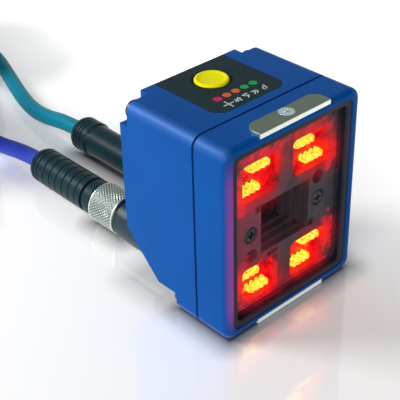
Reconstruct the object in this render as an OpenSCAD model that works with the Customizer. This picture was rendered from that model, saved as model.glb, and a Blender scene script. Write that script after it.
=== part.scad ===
// Fixed barcode reader: a small die-cast case with a lit window, a control panel with a push button on top,
// and a sloped connector block behind with two round plugs. Millimetres, +Z up, front towards -Y.
// The origin is under the middle of the reader, on the surface that it stands on.

/* [Body] */
// Width of the case
body_w = 54; // [52:0.5:62]
// Height of the case
body_h = 63.4; // [62:0.2:72]
// Depth of the case from front face to rear face
body_d = 43; // [42:0.5:52]
// Depth of the front cover
cover_d = 12; // [11.5:0.25:13]
// Radius of the four long edges
edge_r = 3.5; // [2:0.25:4]
// Radius of the rounded edge round the front face
front_r = 1.8; // [1:0.1:2.2]
// Wall of the case
wall = 3; // [2.6:0.1:3.2]
// Thickness of the seal between cover and housing
seal_t = 0.8; // [0.6:0.1:1.2]
// How far the seal lies below the outer faces
seal_inset = 0.5; // [0.2:0.1:1]

/* [Underside] */
// Depth of the foot from the front face
foot_d = 21.5; // [20:0.5:24]
// Height of the step behind the foot
step_h = 6.4; // [6.2:0.1:7]
// Height where the slope meets the rear face
slope_top = 20; // [19:0.5:22]
// Thickness of the wall behind the slope
slope_wall = 6.5; // [6:0.25:7]

/* [Window] */
// Blue rim at each side of the window
rim_side = 3; // [2.6:0.1:3.2]
// Blue rim above the window
rim_top = 2.4; // [2.2:0.1:3]
// Blue rim below the window
rim_bottom = 2.6; // [2.4:0.1:3]
// Corner radius of the window
window_r = 2.5; // [1.5:0.25:3]
// Thickness of the window pane
pane_t = 1.5; // [1.2:0.1:2]
// Visible width of the dark window gasket
gasket_w = 2.3; // [1.5:0.1:2.6]
// Thickness of the window gasket in front of the pane
gasket_t = 0.6; // [0.4:0.1:0.8]
// How far the gasket lies behind the front face
gasket_recess = 0.3; // [0.2:0.1:0.5]

/* [Clip plates] */
// Width of a clip plate
plate_w = 28; // [24:0.5:30]
// Depth of a clip plate
plate_d = 6.4; // [6.3:0.1:7]
// Thickness of a clip plate
plate_t = 1.5; // [1.2:0.1:1.8]
// Rear corner radius of a clip plate
plate_r = 3.8; // [2:0.2:4]
// How far the top clip plate stands proud
plate_proud = 0.8; // [0.4:0.1:1]
// Head diameter of the clip plate screws
clip_head_d = 4.8; // [4.4:0.1:4.9]

/* [Control panel] */
// Width of the control panel
panel_w = 27.4; // [26:0.2:30]
// Front edge of the control panel from the front face
panel_y = 16; // [15.5:0.25:17]
// Thickness of the control panel
panel_t = 1.2; // [1:0.1:1.4]
// Cut at the panel's front corners
panel_cut = 2.8; // [1:0.1:4]
// Diameter of the push button
button_d = 10.4; // [9:0.1:10.8]
// Distance of the push button from the front face
button_y = 33.3; // [32.5:0.1:34.5]
// How far the push button stands proud
button_proud = 0.6; // [0.6:0.1:1]
// Travel of the push button
button_travel = 0.6; // [0.4:0.1:0.6]
// Diameter of a status light
light_d = 2.8; // [2:0.1:2.9]
// Spacing of the status lights
light_pitch = 3.5; // [3.2:0.1:4]
// Distance of the status lights from the front face
light_y = 23.4; // [23:0.1:24.5]

/* [Optics] */
// How far the optical axis lies below the middle of the light mask
axis_drop = 1.6; // [0:0.1:2]
// Thickness of the light mask
mask_t = 2.4; // [2.2:0.1:2.6]
// Front opening of the square funnel, width
funnel_w = 20; // [18:0.5:20]
// Front opening of the square funnel, height
funnel_h = 16.6; // [15:0.2:17]
// Rear opening of the square funnel
funnel_in = 9; // [8:0.2:10]
// Number of steps in the funnel
funnel_steps = 4; // [2:1:5]
// Length of an LED bar
bar_w = 8.3; // [7:0.1:8.6]
// Height of an LED bar
bar_h = 2.4; // [2:0.1:2.8]
// Diameter of the lens barrel
lens_d = 14; // [13:0.2:14.4]
// Diameter of the lens glass
glass_d = 10; // [8.5:0.1:10.4]
// Thickness of the circuit boards
board_t = 1.6; // [1.4:0.1:1.7]

/* [Connectors] */
// Distance between the two connectors
conn_pitch = 24; // [23:0.5:26]
// Height of the connectors above the floor
conn_z = 7.3; // [7.3:0.1:8]
// How far the connector block stands behind the case
block_d = 16.6; // [16:0.2:20]
// Length of the receptacle thread behind the block
thread_l = 12.4; // [11.4:0.2:12.6]
// Thread diameter of the receptacles
thread_d = 11.8; // [11.6:0.1:12]
// Outer diameter of the coupling nuts
nut_d = 14; // [13.6:0.1:14.4]
// Length of the coupling nuts
nut_l = 13; // [12.5:0.25:14]
// Diameter of the plug grips
grip_d = 12.6; // [12:0.1:13.4]
// Diameter of the cables
cable_d = 6; // [5:0.1:6]

/* [Fasteners] */
// Spacing of the rear mounting holes, across
mount_x = 30; // [26:0.5:32]
// Spacing of the rear mounting holes, upright
mount_z = 20; // [18:0.5:22]
// Tapped diameter of the rear mounting holes
mount_d = 3.3; // [2.5:0.1:3.5]
// Head diameter of the case screws
case_head_d = 5.7; // [5:0.1:5.8]
// Shank diameter of the case screws
case_screw_d = 2.9; // [2.5:0.1:3]

/* [Hidden] */
$fn = 48;
hull_fn = 32;
eps = 0.01;
big = 200;

// Clearances that every fit shares
fit = 0.1;
loose = 0.3;

// Frame: the reader from the front face to the end of the receptacle threads is centred on the origin
reader_d = body_d + block_d + thread_l;
front_y = -reader_d / 2;

// Front cover and window, counted from the front face
pane_y = gasket_recess + gasket_t;
lip_y = pane_y + pane_t;
lip_t = 2;
open_w = body_w - 2 * rim_side;
open_z0 = rim_bottom;
open_z1 = body_h - rim_top;
lip_w = open_w - 2 * gasket_w + 0.2;
lip_z0 = open_z0 + gasket_w - 0.1;
lip_z1 = open_z1 - gasket_w + 0.1;
lip_r = 2;
pane_fit = 0.3;

// Clip plates and their countersunk screws
plate_screw_y = 3.8;
clip_screw_l = 4.2;
clip_shank = 1.25;
clip_tap = clip_shank + fit / 2;
clip_sink = clip_head_d / 2 - clip_shank;
clip_socket_r = 1;

// Case screws
case_side = 4.4;
case_drop = 4.2;
case_x = body_w / 2 - case_side;
case_z_low = step_h / 2;
case_z_high = body_h - case_drop;
case_tap = case_screw_d / 2 + fit / 2;
case_head_h = 3;
corner_w = 8.2;
corner_h = 7.4;
notch_d = 3.4;
case_grip = 5.4;
case_socket_r = 1.25;
case_socket_h = 1.5;
screw_points = [for (sx = [-1, 1], z = [case_z_low, case_z_high]) [sx * case_x, z]];

// Housing, counted from the front face
house_y = cover_d + seal_t;
cav_w = body_w - 2 * wall;
cav_z0 = step_h + wall;
cav_z1 = body_h - wall;
cav_y1 = body_d - wall;
slope_y = body_d - (slope_top - step_h);
slope_off = slope_wall * sqrt(2);

// Control panel, button and lights
panel_z = body_h - panel_t;
button_r = button_d / 2;
flange_r = button_r + 1;
flange_t = 0.9;
flange_z = panel_z - loose - flange_t;
stem_r = 1.5;
stem_l = 1.1;
press_gap = button_travel + fit;
plunger_z = flange_z - stem_l - press_gap;
plunger_h = 0.5;
switch_w = 6;
switch_h = 3;
ctrl_top = plunger_z - plunger_h - switch_h;
ctrl_z = ctrl_top - board_t;
ctrl_w = 26;
ctrl_y0 = panel_y + 1;
ctrl_y1 = cav_y1 - 1;
chip_w = 1.8;
chip_h = 0.8;
light_x = [for (i = [-2:2]) i * light_pitch];
post_r = 2;
post_x = 10.6;
post_y = ctrl_y0 + 2.6;
post_screw_d = 1.8;
post_points = [for (sx = [-1, 1], y = [post_y, ctrl_y1 - 2.6]) [sx * post_x, y]];
post_head_h = 1.2;
post_grip = 3.5;

// Light mask and illuminator
mask_y = lip_y + 0.8;
mask_y1 = mask_y + mask_t;
mask_gap = 0.4;
corner_y = mask_y1 + 0.5;
mask_w = lip_w - 2 * mask_gap;
mask_z0 = lip_z0 + mask_gap;
mask_z1 = lip_z1 - mask_gap;
axis_z = (mask_z0 + mask_z1) / 2 - axis_drop;
illum_y = mask_y1 + 1.6;
illum_y1 = illum_y + board_t;
funnel_y1 = cover_d - 1;
funnel_wall = 1.2;
tray_x0 = 1.8;
tray_x1 = 18.2;
tray_rib = 1.1;
tray_edge = 0.6;
tray_z0 = funnel_h / 2 + funnel_wall + tray_rib;
tray_z1 = (mask_z1 - mask_z0) / 2 - axis_drop - tray_edge;
tray_t = 0.8;
bar_t = 1.2;
bar_rise = 3.8;
bar_sink = 3.6;
bar_near = [9.1, tray_z1 - bar_sink];
bar_wide = [13, tray_z0 + bar_rise];
bars = [for (sx = [-1, 1], sz = [-1, 1], p = [bar_near, bar_wide]) [sx * p[0], axis_z + sz * p[1]]];
tray_r = 1.5;
tray_gap = 0.3;
mask_screw_x = 14;
mask_screw_d = 2.4;
mask_head_d = 4.8;
mask_head_h = 1.3;
mask_boss_r = 2.5;
pointer = [13.7, 7.4];
pointer_d = 4.4;
pointers = [[-pointer[0], axis_z - pointer[1]], [pointer[0], axis_z + pointer[1]]];
sensor_slot = [-5, -10.2];
snap_w = 2.2;
snap_d = 1.2;
snap = [funnel_w / 2 + funnel_wall, pointer[1]];
slot_w_mask = 5;
slot_h_mask = 1.6;

// Optics frame, lens and board stack
frame_y = cover_d + 2;
frame_t = 2.4;
frame_y1 = frame_y + frame_t;
frame_gap = 0.4;
frame_w = cav_w - 2 * frame_gap;
frame_z0 = cav_z0 + frame_gap;
frame_z1 = min(ctrl_z - 1.6, cav_z1 - corner_h);
boss_w = 6.4;
boss_h = 6.4;
boss_l = 8;
boss_x = cav_w / 2 - boss_w / 2;
boss_inset = 5;
boss_z = [frame_z0 + boss_inset, frame_z1 - boss_inset];
frame_screw_d = 2.2;
frame_head_d = 4.2;
frame_head_h = 1.6;
frame_points = [for (sx = [-1, 1], z = boss_z) [sx * boss_x, z]];
collar_r = lens_d / 2 + 1.6;
lens_y = funnel_y1 + 0.6;
lens_back = 7.6;
lens_y1 = frame_y1 + lens_back;
collar_y1 = lens_y1 - 1;
glass_y = lens_y + 0.6;
glass_t = 2.6;
glass_curve = 14;
sensor_y = lens_y1 + 3;
sensor_w = 10;
sensor_t = 1.5;
sensor_y1 = sensor_y + board_t;
stack_side = 4.6;
stack_low = 4.6;
stack_high = 6.1;
stack_x = cav_w / 2 - boss_w - stack_side;
stack_z = [axis_z - stack_low, frame_z1 - stack_high];
stack_points = [for (sx = [-1, 1], z = stack_z) [sx * stack_x, z]];
stack_edge = 3.2;
stack_screw_d = 2.4;
spacer_r = 2.4;
proc_back = 9.6;
proc_side = 5;
proc_y = body_d - proc_back;
proc_y1 = proc_y + board_t;
proc_w = cav_w - 2 * proc_side;
stack_head_d = 4.2;
stack_head_h = 1.4;
proc_chip_w = 14;
proc_chip_t = 1.4;
mount_mid_z = (slope_top + body_h) / 2 - 2.7;
mount_depth = 5;
mount_points = [for (sx = [-1, 1], sz = [-1, 1]) [sx * mount_x / 2, mount_mid_z + sz * mount_z / 2]];
mount_boss_r = 3.4;
mount_boss_l = 2.6;

// Connector block on the slope
block_y1 = body_d + block_d;
block_r = conn_z;
block_w = conn_pitch + 2 * block_r;
block_top = 2 * block_r;
pad_t = 0.8;
pad_off = pad_t * sqrt(2);
pad_z = (step_h + block_top) / 2;
pad_y = slope_y + pad_z - step_h;
pad_l = (block_top - step_h) * sqrt(2) - 0.8;
pad_side = 3;
pad_w = block_w - 2 * pad_side;
ear_l = 6.4;
ear_t = 2.4;
ear_screw_d = 2.9;
ear_head_d = 4.6;
ear_head_h = 1.8;
ear_x = block_w / 2 + ear_head_d / 2 + loose;
ear_depth = 5;
conn_x = [-conn_pitch / 2, conn_pitch / 2];

// Receptacles and plugs, along their axis from the rear face of the block
shell_back = 11;
shell_d = 11.8;
flange_l = 2;
flange_d = nut_d - 0.6;
bore_d = thread_d - 2.4;
bore_floor = 1;
core_l = 2;
pin_d = 0.8;
pin_l = 7.4;
pin_rings_power = [[8, 3.1], [4, 1.4]];
pin_rings_network = [[7, 2.75], [1, 0]];
nut_y = flange_l + loose;
nut_chamfer = 0.7;
nut_shoulder = thread_l + 0.8;
nut_neck_r = thread_d / 2 - 0.7;
plug_core_r = bore_d / 2 - 0.3;
plug_core_y = bore_floor + core_l + 0.5;
grip_y = nut_y + nut_l + loose;
grip_power_l = 34.8;
grip_network_l = 42.8;
groove_d = 0.5;
groove_w = 0.8;
groove_pitch = 3.6;
collar_l = 4;
neck_l = 1.2;
cap_l = 3.4;
grip_collar_l = 9;

// Hanks, in which the cable is folded into turns that lie on each other
hank_r = 18.5;
hank_lift = 1;
hank_turns = 4;
hank_power = [-31.7, 114];
hank_network = [12, 179];
run_power = 61.2;
run_network = 53.6;
tie_t = 0.7;
tie_w = 6;
tie_gap = hank_lift - tie_t;
tie_power = hank_power + [0, run_power + hank_r];
tie_network = hank_network + [-hank_r, 36];

// Cable routes, in this file's frame: from the plug to the hank, and the last fold that ends on top of the hank
power_lead = [
    [-12, 74, 7.3], [-12, 77, 7.3], [-12, 80, 7.2], [-12, 83, 6.9], [-12, 86, 6.5], [-12.1, 89, 6.1],
    [-12.2, 92, 5.6], [-12.4, 95, 5.1], [-12.6, 98, 4.7], [-12.8, 101, 4.4], [-13, 104, 4.2], [-13.1, 108, 4],
    [-13.2, 114, 4],
];
power_tail = [
    [-50.2, 114, 23.4], [-48.8, 106.9, 24.4], [-44.8, 100.9, 25.4], [-38.8, 96.9, 26.4], [-31.7, 95.5, 27.2],
    [-24.6, 96.9, 27.8], [-18.6, 100.9, 28], [-14.6, 106.9, 28], [-13.2, 114, 28], [-13.2, 118, 28],
];
network_lead = [
    [12, 82, 7.3], [12, 86, 7.3], [12, 94, 6.6], [12, 103, 5], [12.6, 111, 3.8], [14, 119, 3.3],
    [16.2, 127, 3.2], [19.2, 136, 3.2], [22.4, 145, 3.2], [25.6, 154, 3.2], [28.2, 162, 3.4], [29.9, 170, 3.8],
    [30.5, 179, 4],
];
network_tail = [
    [-6.5, 179, 23.4], [-5.1, 171.9, 25], [-1.1, 165.9, 26.6], [4.9, 161.9, 28.2], [12, 160.5, 29.6],
    [19.1, 161.9, 30.6], [25.1, 165.9, 31], [29.1, 171.9, 31], [30.5, 179, 31], [30.5, 183, 31],
];
cable_sides = 10;
power_end = [conn_x[0], front_y + block_y1 + grip_y + grip_power_l, conn_z];
network_end = [conn_x[1], front_y + block_y1 + grip_y + grip_network_l, conn_z];
power_shift = power_end - power_lead[0];
network_shift = network_end - network_lead[0];
wire_d = 1.2;
wire_n = 5;
wire_ring = 1.6;
wire_l = 18;
strip_l = 5;
jack_w = 11.7;
jack_h = 8.3;
jack_l = 21.5;
boot_l = 12;
jack_step = 1.2;
latch_w = 4;
latch_t = 1;
latch_l = 15;
latch_a = 12;
slot_l = 6;
slot_w = 0.5;
slot_h = 2.4;
slot_pitch = 1.02;

// Moves a piece that is drawn from the front face into the frame
module seat() {
    translate([0, front_y, 0]) children();
}

// Flat shape in X and Z, made solid from y0 back to y1
module along_y(y0, y1) {
    translate([0, y1, 0]) rotate([90, 0, 0]) linear_extrude(y1 - y0) children();
}

// Flat shape in Y and Z, made solid from x0 to x1
module along_x(x0, x1) {
    translate([x0, 0, 0]) rotate([90, 0, 90]) linear_extrude(x1 - x0) children();
}

// Round bar along Y at one point of the X and Z plane
module bar_y(r, y0, y1, p = [0, 0]) {
    translate([p[0], y0, p[1]]) rotate([-90, 0, 0]) cylinder(h = y1 - y0, r = r);
}

// Body of revolution along Y from a list of radius and distance
module turned_y(profile, p = [0, 0]) {
    translate([p[0], 0, p[1]]) rotate([-90, 0, 0]) rotate_extrude() polygon(profile);
}

// Rectangle with round corners, from z0 up to z1
module rounded(w, z0, z1, r) {
    h = z1 - z0;
    translate([0, (z0 + z1) / 2]) {
        square([w - 2 * r, h], center = true);
        square([w, h - 2 * r], center = true);
        for (sx = [-1, 1], sz = [-1, 1]) {
            translate([sx * (w / 2 - r), sz * (h / 2 - r)]) circle(r);
        }
    }
}

// Outline of the inside, with the screw corners left out, and the low ones too where asked
module cornered(w, z0, z1, low, gap = 0) {
    difference() {
        translate([-w / 2, z0]) square([w, z1 - z0]);
        for (sx = [-1, 1]) {
            translate([sx * body_w / 2 - corner_w - gap, body_h - corner_h - gap])
                square([2 * (corner_w + gap), big]);
            if (low) translate([sx * body_w / 2 - corner_w - gap, corner_h + gap - big])
                square([2 * (corner_w + gap), big]);
        }
    }
}

// Pan head screw along Y, with its head in front of y and its shank behind it
module pan_screw(head_d, head_h, shank_d, l, p) {
    turned_y([
        [0, -head_h], [head_d / 2 - 0.5, -head_h], [head_d / 2, -head_h + 0.5], [head_d / 2, 0],
        [shank_d / 2, 0], [shank_d / 2, l], [0, l],
    ], p);
}

// Stands a piece on the slope: its own Z points out of the slope, backwards and down
module on_slope(y, z) {
    translate([0, y, z]) rotate([-135, 0, 0]) children();
}

// Outer form of the front cover, rounded round the front face
module cover_form() {
    steps = 5;
    hull() {
        for (i = [0:steps]) {
            inset = front_r * (1 - cos(90 * i / steps));
            y = front_r * (1 - sin(90 * i / steps));
            along_y(y, y + eps)
                rounded(body_w - 2 * inset, inset, body_h - inset, edge_r - inset, $fn = hull_fn);
        }
        along_y(cover_d - eps, cover_d) rounded(body_w, 0, body_h, edge_r, $fn = hull_fn);
    }
}

// Outline of a clip plate, straight in front and rounded behind, grown by a gap
module plate_outline(gap) {
    w = plate_w + 2 * gap;
    d = plate_d + gap;
    r = plate_r + gap;
    translate([-w / 2, -1]) square([w, d - r + 1]);
    translate([-w / 2 + r, 0]) square([w - 2 * r, d]);
    for (sx = [-1, 1]) translate([sx * (w / 2 - r), d - r]) circle(r);
}

module front_cover() {
    color("royalblue") seat() difference() {
        cover_form();
        along_y(-1, lip_y) rounded(open_w, open_z0, open_z1, window_r);
        along_y(-1, lip_y + lip_t + eps) rounded(lip_w, lip_z0, lip_z1, lip_r);
        along_y(lip_y + lip_t, corner_y) translate([-cav_w / 2, lip_z0]) square([cav_w, lip_z1 - lip_z0]);
        along_y(lip_y + lip_t, cover_d + 1) cornered(cav_w, lip_z0, lip_z1, true);
        for (p = screw_points) bar_y(case_tap, cover_d - case_grip, cover_d + 1, p);
        translate([0, 0, body_h - plate_t + plate_proud]) linear_extrude(plate_t) plate_outline(loose / 2);
        translate([0, 0, -1]) linear_extrude(plate_t + 1) plate_outline(loose / 2);
        translate([0, plate_screw_y, body_h + plate_proud - clip_screw_l]) cylinder(h = big, r = clip_tap);
        translate([0, plate_screw_y, -1]) cylinder(h = 1 + clip_screw_l, r = clip_tap);
    }
}

module clip_plate() {
    difference() {
        linear_extrude(plate_t) intersection() {
            plate_outline(0);
            translate([-big / 2, 0]) square([big, big]);
        }
        translate([0, plate_screw_y, plate_t - clip_sink - fit])
            cylinder(h = clip_sink + 2 * fit, r1 = clip_shank + fit, r2 = clip_head_d / 2 + 2 * fit);
        translate([0, plate_screw_y, -1]) cylinder(h = plate_t + 2, r = clip_shank + fit);
    }
}

module clip_screw() {
    translate([0, plate_screw_y, plate_t]) difference() {
        rotate_extrude() polygon([
            [0, -clip_screw_l + loose], [clip_shank, -clip_screw_l + loose], [clip_shank, -clip_sink],
            [clip_head_d / 2, 0], [0, 0],
        ]);
        translate([0, 0, -1]) cylinder(h = 2, r = clip_socket_r, $fn = 6);
    }
}

module top_place() {
    seat() translate([0, 0, body_h + plate_proud - plate_t]) children();
}

module bottom_place() {
    seat() translate([0, 0, plate_t]) mirror([0, 0, 1]) children();
}

module top_clip_plate() {
    color("silver") top_place() clip_plate();
}

module bottom_clip_plate() {
    color("silver") bottom_place() clip_plate();
}

module clip_screws() {
    color("gainsboro") {
        top_place() clip_screw();
        bottom_place() clip_screw();
    }
}

module cover_seal() {
    color("midnightblue") seat() difference() {
        along_y(cover_d, house_y)
            rounded(body_w - 2 * seal_inset, seal_inset, body_h - seal_inset, edge_r - seal_inset);
        along_y(cover_d - 1, house_y + 1) cornered(cav_w, cav_z0, lip_z1, true);
        for (p = screw_points) bar_y(case_screw_d / 2 + fit, cover_d - 1, house_y + 1, p);
    }
}

module window_pane() {
    color("lightsteelblue", 0.3) seat() along_y(pane_y, lip_y)
        rounded(open_w - 2 * pane_fit, open_z0 + pane_fit, open_z1 - pane_fit, window_r - pane_fit);
}

// Dark frame in front of the pane's edge, with its inner edge bevelled towards the pane
module window_gasket() {
    inner_w = open_w - 2 * gasket_w;
    inner_z0 = open_z0 + gasket_w;
    inner_z1 = open_z1 - gasket_w;
    color("black") seat() difference() {
        along_y(gasket_recess, pane_y)
            rounded(open_w - fit, open_z0 + fit / 2, open_z1 - fit / 2, window_r - fit / 2);
        hull() {
            along_y(gasket_recess - fit, gasket_recess)
                rounded(inner_w + 2 * gasket_t, inner_z0 - gasket_t, inner_z1 + gasket_t, 1.8, $fn = hull_fn);
            along_y(pane_y, pane_y + fit) rounded(inner_w, inner_z0, inner_z1, 1.2, $fn = hull_fn);
        }
    }
}

// Outline of the case from the side, below the foot's step and the slope
module underside_cut() {
    along_x(-big, big) polygon([
        [foot_d, -1], [foot_d, step_h], [slope_y, step_h], [body_d + 1, slope_top + 1], [body_d + 1, -1],
    ]);
}

// Outline of the control panel, open to the rear edge, grown by a gap
module panel_outline(gap) {
    w = panel_w / 2 + gap;
    y0 = panel_y - gap;
    polygon([
        [-w, body_d], [-w, y0 + panel_cut], [-w + panel_cut, y0], [w - panel_cut, y0], [w, y0 + panel_cut],
        [w, body_d],
    ]);
}

// Hollow of the housing: four solid screw corners, a sloped rear wall
module housing_hollow() {
    difference() {
        along_y(house_y - 1, cav_y1) cornered(cav_w, cav_z0, cav_z1, false);
        along_x(-big, big) polygon([
            [slope_y - step_h - big, -big], [slope_y + big, step_h + slope_off + big], [body_d + big, -big],
        ]);
    }
}

// Bosses on the side walls that carry the optics frame, posts for the control board, bosses behind the mount
module housing_bosses() {
    for (p = frame_points) {
        translate([p[0] - (p[0] < 0 ? wall / 2 : 0) - boss_w / 2, frame_y1, p[1] - boss_h / 2])
            cube([boss_w + wall / 2, boss_l, boss_h]);
    }
    for (p = post_points) {
        translate([p[0], p[1], ctrl_top]) cylinder(h = cav_z1 - ctrl_top + wall / 2, r = post_r);
    }
    for (p = mount_points) bar_y(mount_boss_r, cav_y1 - mount_boss_l, cav_y1 + wall / 2, p);
}

module housing_holes() {
    for (sx = [-1, 1]) {
        translate([sx * body_w / 2 - corner_w, body_d - notch_d, body_h - corner_h])
            cube([2 * corner_w, notch_d + 1, corner_h + 1]);
    }
    for (p = screw_points) bar_y(case_screw_d / 2 + fit, house_y - 1, body_d + 1, p);
    for (p = frame_points) bar_y(frame_screw_d / 2 + fit / 2, frame_y1 - 1, frame_y1 + boss_l - 1, p);
    for (p = mount_points) bar_y(mount_d / 2, body_d - mount_depth, body_d + 1, p);
    for (p = post_points) {
        translate([p[0], p[1], ctrl_top - 1])
            cylinder(h = post_grip + 1 + loose, r = post_screw_d / 2 + fit / 2);
    }
    translate([0, 0, panel_z]) linear_extrude(big) panel_outline(fit);
    translate([0, button_y, cav_z1 - 1]) cylinder(h = big, r = flange_r + loose);
    for (x = light_x) translate([x, light_y, ctrl_top]) cylinder(h = big, r = light_d / 2 + loose / 2);
    for (sx = [-1, 1]) {
        on_slope(pad_y, pad_z) translate([sx * ear_x, 0, -ear_depth - loose])
            cylinder(h = big, r = ear_screw_d / 2 + fit / 2);
    }
}

module rear_housing() {
    color("royalblue") seat() difference() {
        union() {
            difference() {
                along_y(house_y, body_d) rounded(body_w, 0, body_h, edge_r);
                underside_cut();
                housing_hollow();
            }
            housing_bosses();
        }
        housing_holes();
    }
}

// Long case screws: two in the upper corner notches, two behind the foot
module case_screws() {
    color("black") seat() for (p = screw_points) {
        y1 = p[1] > body_h / 2 ? body_d - notch_d : foot_d;
        l = y1 - cover_d + case_grip - loose;
        translate([0, y1, 0]) rotate([0, 0, 180]) difference() {
            pan_screw(case_head_d, case_head_h, case_screw_d, l, [-p[0], p[1]]);
            bar_y(case_socket_r, -case_head_h - 1, -case_head_h + case_socket_h, [-p[0], p[1]], $fn = 6);
        }
    }
}

module control_panel() {
    color("darkslategray") seat() difference() {
        translate([0, 0, panel_z]) linear_extrude(panel_t) panel_outline(0);
        translate([0, button_y, panel_z - 1]) cylinder(h = big, r = button_r + loose);
        for (x = light_x) translate([x, light_y, panel_z - 1]) cylinder(h = big, r = light_d / 2 + fit / 2);
    }
}

// Push button: low crown with a rounded edge, a flange that the panel keeps in, and a stem above the switch
module push_button() {
    top = body_h + button_proud;
    soft = 0.5;
    color("gold") seat() translate([0, button_y, 0]) rotate_extrude() union() {
        polygon([
            [0, flange_z - stem_l], [stem_r, flange_z - stem_l], [stem_r, flange_z], [flange_r, flange_z],
            [flange_r, flange_z + flange_t], [button_r, flange_z + flange_t], [button_r, top - soft],
            [button_r - soft, top - soft], [button_r - soft, top], [0, top],
        ]);
        translate([button_r - soft, top - soft]) intersection() {
            circle(soft);
            square(soft);
        }
    }
}

module button_switch() {
    color("dimgray") seat() translate([0, button_y, ctrl_top]) {
        translate([-switch_w / 2, -switch_w / 2, 0]) cube([switch_w, switch_w, switch_h]);
        cylinder(h = switch_h + plunger_h, r = 1.7);
    }
}

module status_light(i) {
    z0 = ctrl_top + chip_h + fit;
    seat() translate([light_x[i], light_y, z0]) cylinder(h = body_h - z0, r = light_d / 2);
}

module red_light() {
    color("crimson") status_light(0);
}

module amber_lights() {
    color("orange") for (i = [1, 2]) status_light(i);
}

module green_lights() {
    color("limegreen") for (i = [3, 4]) status_light(i);
}

module status_chips() {
    color("ivory") seat() for (x = light_x) {
        translate([x - chip_w / 2, light_y - chip_w / 2, ctrl_top]) cube([chip_w, chip_w, chip_h]);
    }
}

module control_board() {
    color("darkgreen") seat() difference() {
        translate([-ctrl_w / 2, ctrl_y0, ctrl_z]) cube([ctrl_w, ctrl_y1 - ctrl_y0, board_t]);
        for (p = post_points) {
            translate([p[0], p[1], ctrl_z - 1]) cylinder(h = big, r = post_screw_d / 2 + fit);
        }
    }
}

module control_board_screws() {
    color("gainsboro") seat() for (p = post_points) {
        translate([p[0], p[1], ctrl_z]) rotate_extrude() polygon([
            [0, -post_head_h], [post_screw_d, -post_head_h], [post_screw_d, 0], [post_screw_d / 2, 0],
            [post_screw_d / 2, board_t + post_grip], [0, board_t + post_grip],
        ]);
    }
}

// Outline of the funnel at one share of its depth, from the front opening to the rear one
module funnel_outline(share, grow) {
    w = funnel_w + (funnel_in - funnel_w) * share + 2 * grow;
    h = funnel_h + (funnel_in - funnel_h) * share + 2 * grow;
    translate([-w / 2, axis_z - h / 2]) square([w, h]);
}

// The four LED wells of the mask, each round two staggered bars, grown by a gap
module well_outline(gap) {
    w = tray_x1 - tray_x0 + 2 * gap;
    h = tray_z1 - tray_z0 + 2 * gap;
    for (sx = [-1, 1], sz = [-1, 1]) {
        translate([sx * (tray_x0 + tray_x1) / 2, axis_z + sz * (tray_z0 + tray_z1) / 2])
            rounded(w, -h / 2, h / 2, tray_r);
    }
}

// Light mask with the stepped square funnel that shades the lens
module light_mask() {
    step_l = (funnel_y1 - mask_y) / funnel_steps;
    color("dimgray") seat() difference() {
        union() {
            along_y(mask_y, mask_y1) rounded(mask_w, mask_z0, mask_z1, lip_r);
            along_y(mask_y, funnel_y1) funnel_outline(0, funnel_wall);
            for (sx = [-1, 1]) bar_y(mask_boss_r, mask_y1 - eps, illum_y, [sx * mask_screw_x, axis_z]);
        }
        for (i = [0:funnel_steps - 1]) {
            along_y(mask_y + i * step_l - 1, mask_y + (i + 1) * step_l + eps)
                funnel_outline(i / (funnel_steps - 1), 0);
        }
        along_y(mask_y - 1, mask_y1 + 1) difference() {
            well_outline(-tray_t);
            funnel_outline(0, funnel_wall);
        }
        for (sx = [-1, 1]) {
            p = [sx * mask_screw_x, axis_z];
            bar_y(mask_screw_d / 2 + fit, mask_y - 1, illum_y + 1, p);
            bar_y(mask_head_d / 2 + loose, mask_y - 1, mask_y + mask_head_h, p);
            translate([sx * snap[0] - snap_w / 2, mask_y - 1, axis_z - sx * snap[1] - snap_w / 2])
                cube([snap_w, 1 + snap_d, snap_w]);
        }
        for (p = pointers) bar_y(pointer_d / 2 + fit, mask_y - 1, mask_y1 + 1, p);
        along_y(mask_y - 1, mask_y1 + 1) translate([sensor_slot[0], axis_z + sensor_slot[1]])
            rounded(slot_w_mask, -slot_h_mask / 2, slot_h_mask / 2, slot_h_mask / 2 - eps);
    }
}

module mask_screws() {
    l = frame_y - mask_y - mask_head_h - loose;
    color("darkgray") seat() for (sx = [-1, 1]) {
        translate([0, mask_y + mask_head_h, 0]) difference() {
            pan_screw(mask_head_d, mask_head_h, mask_screw_d, l, [sx * mask_screw_x, axis_z]);
            for (a = [0, 90]) {
                translate([sx * mask_screw_x, -mask_head_h, axis_z]) rotate([0, a, 0])
                    cube([0.7, 1.4, 3], center = true);
            }
        }
    }
}

module led_bars() {
    color("yellow") seat() for (p = bars) {
        translate([p[0] - bar_w / 2, illum_y - bar_t, p[1] - bar_h / 2]) cube([bar_w, bar_t, bar_h]);
    }
}

// Shallow trays round the bars, each with a thin floor that the bars come through
module reflector_trays() {
    floor_t = 0.5;
    color("red") seat() difference() {
        along_y(mask_y1 + tray_gap, illum_y) well_outline(0);
        along_y(mask_y1, illum_y - floor_t) well_outline(-tray_t);
        for (p = bars) {
            translate([p[0] - bar_w / 2 - fit, mask_y1, p[1] - bar_h / 2 - fit])
                cube([bar_w + 2 * fit, big, bar_h + 2 * fit]);
        }
    }
}

module pointer_lenses() {
    color("mistyrose") seat() for (p = pointers) {
        turned_y([
            [0, illum_y - 2.2], [0.9, illum_y - 2], [1.6, illum_y - 1.5], [pointer_d / 2 - 0.4, illum_y - 0.8],
            [pointer_d / 2, illum_y - 0.8], [pointer_d / 2, illum_y], [0, illum_y],
        ], p);
    }
}

module illuminator_board() {
    color("darkslategray") seat() difference() {
        along_y(illum_y, illum_y1) cornered(mask_w, mask_z0, mask_z1, true, mask_gap);
        along_y(illum_y - 1, illum_y1 + 1) funnel_outline(0, funnel_wall + loose);
        for (sx = [-1, 1]) {
            bar_y(mask_screw_d / 2 + fit, illum_y - 1, illum_y1 + 1, [sx * mask_screw_x, axis_z]);
        }
    }
}

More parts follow.
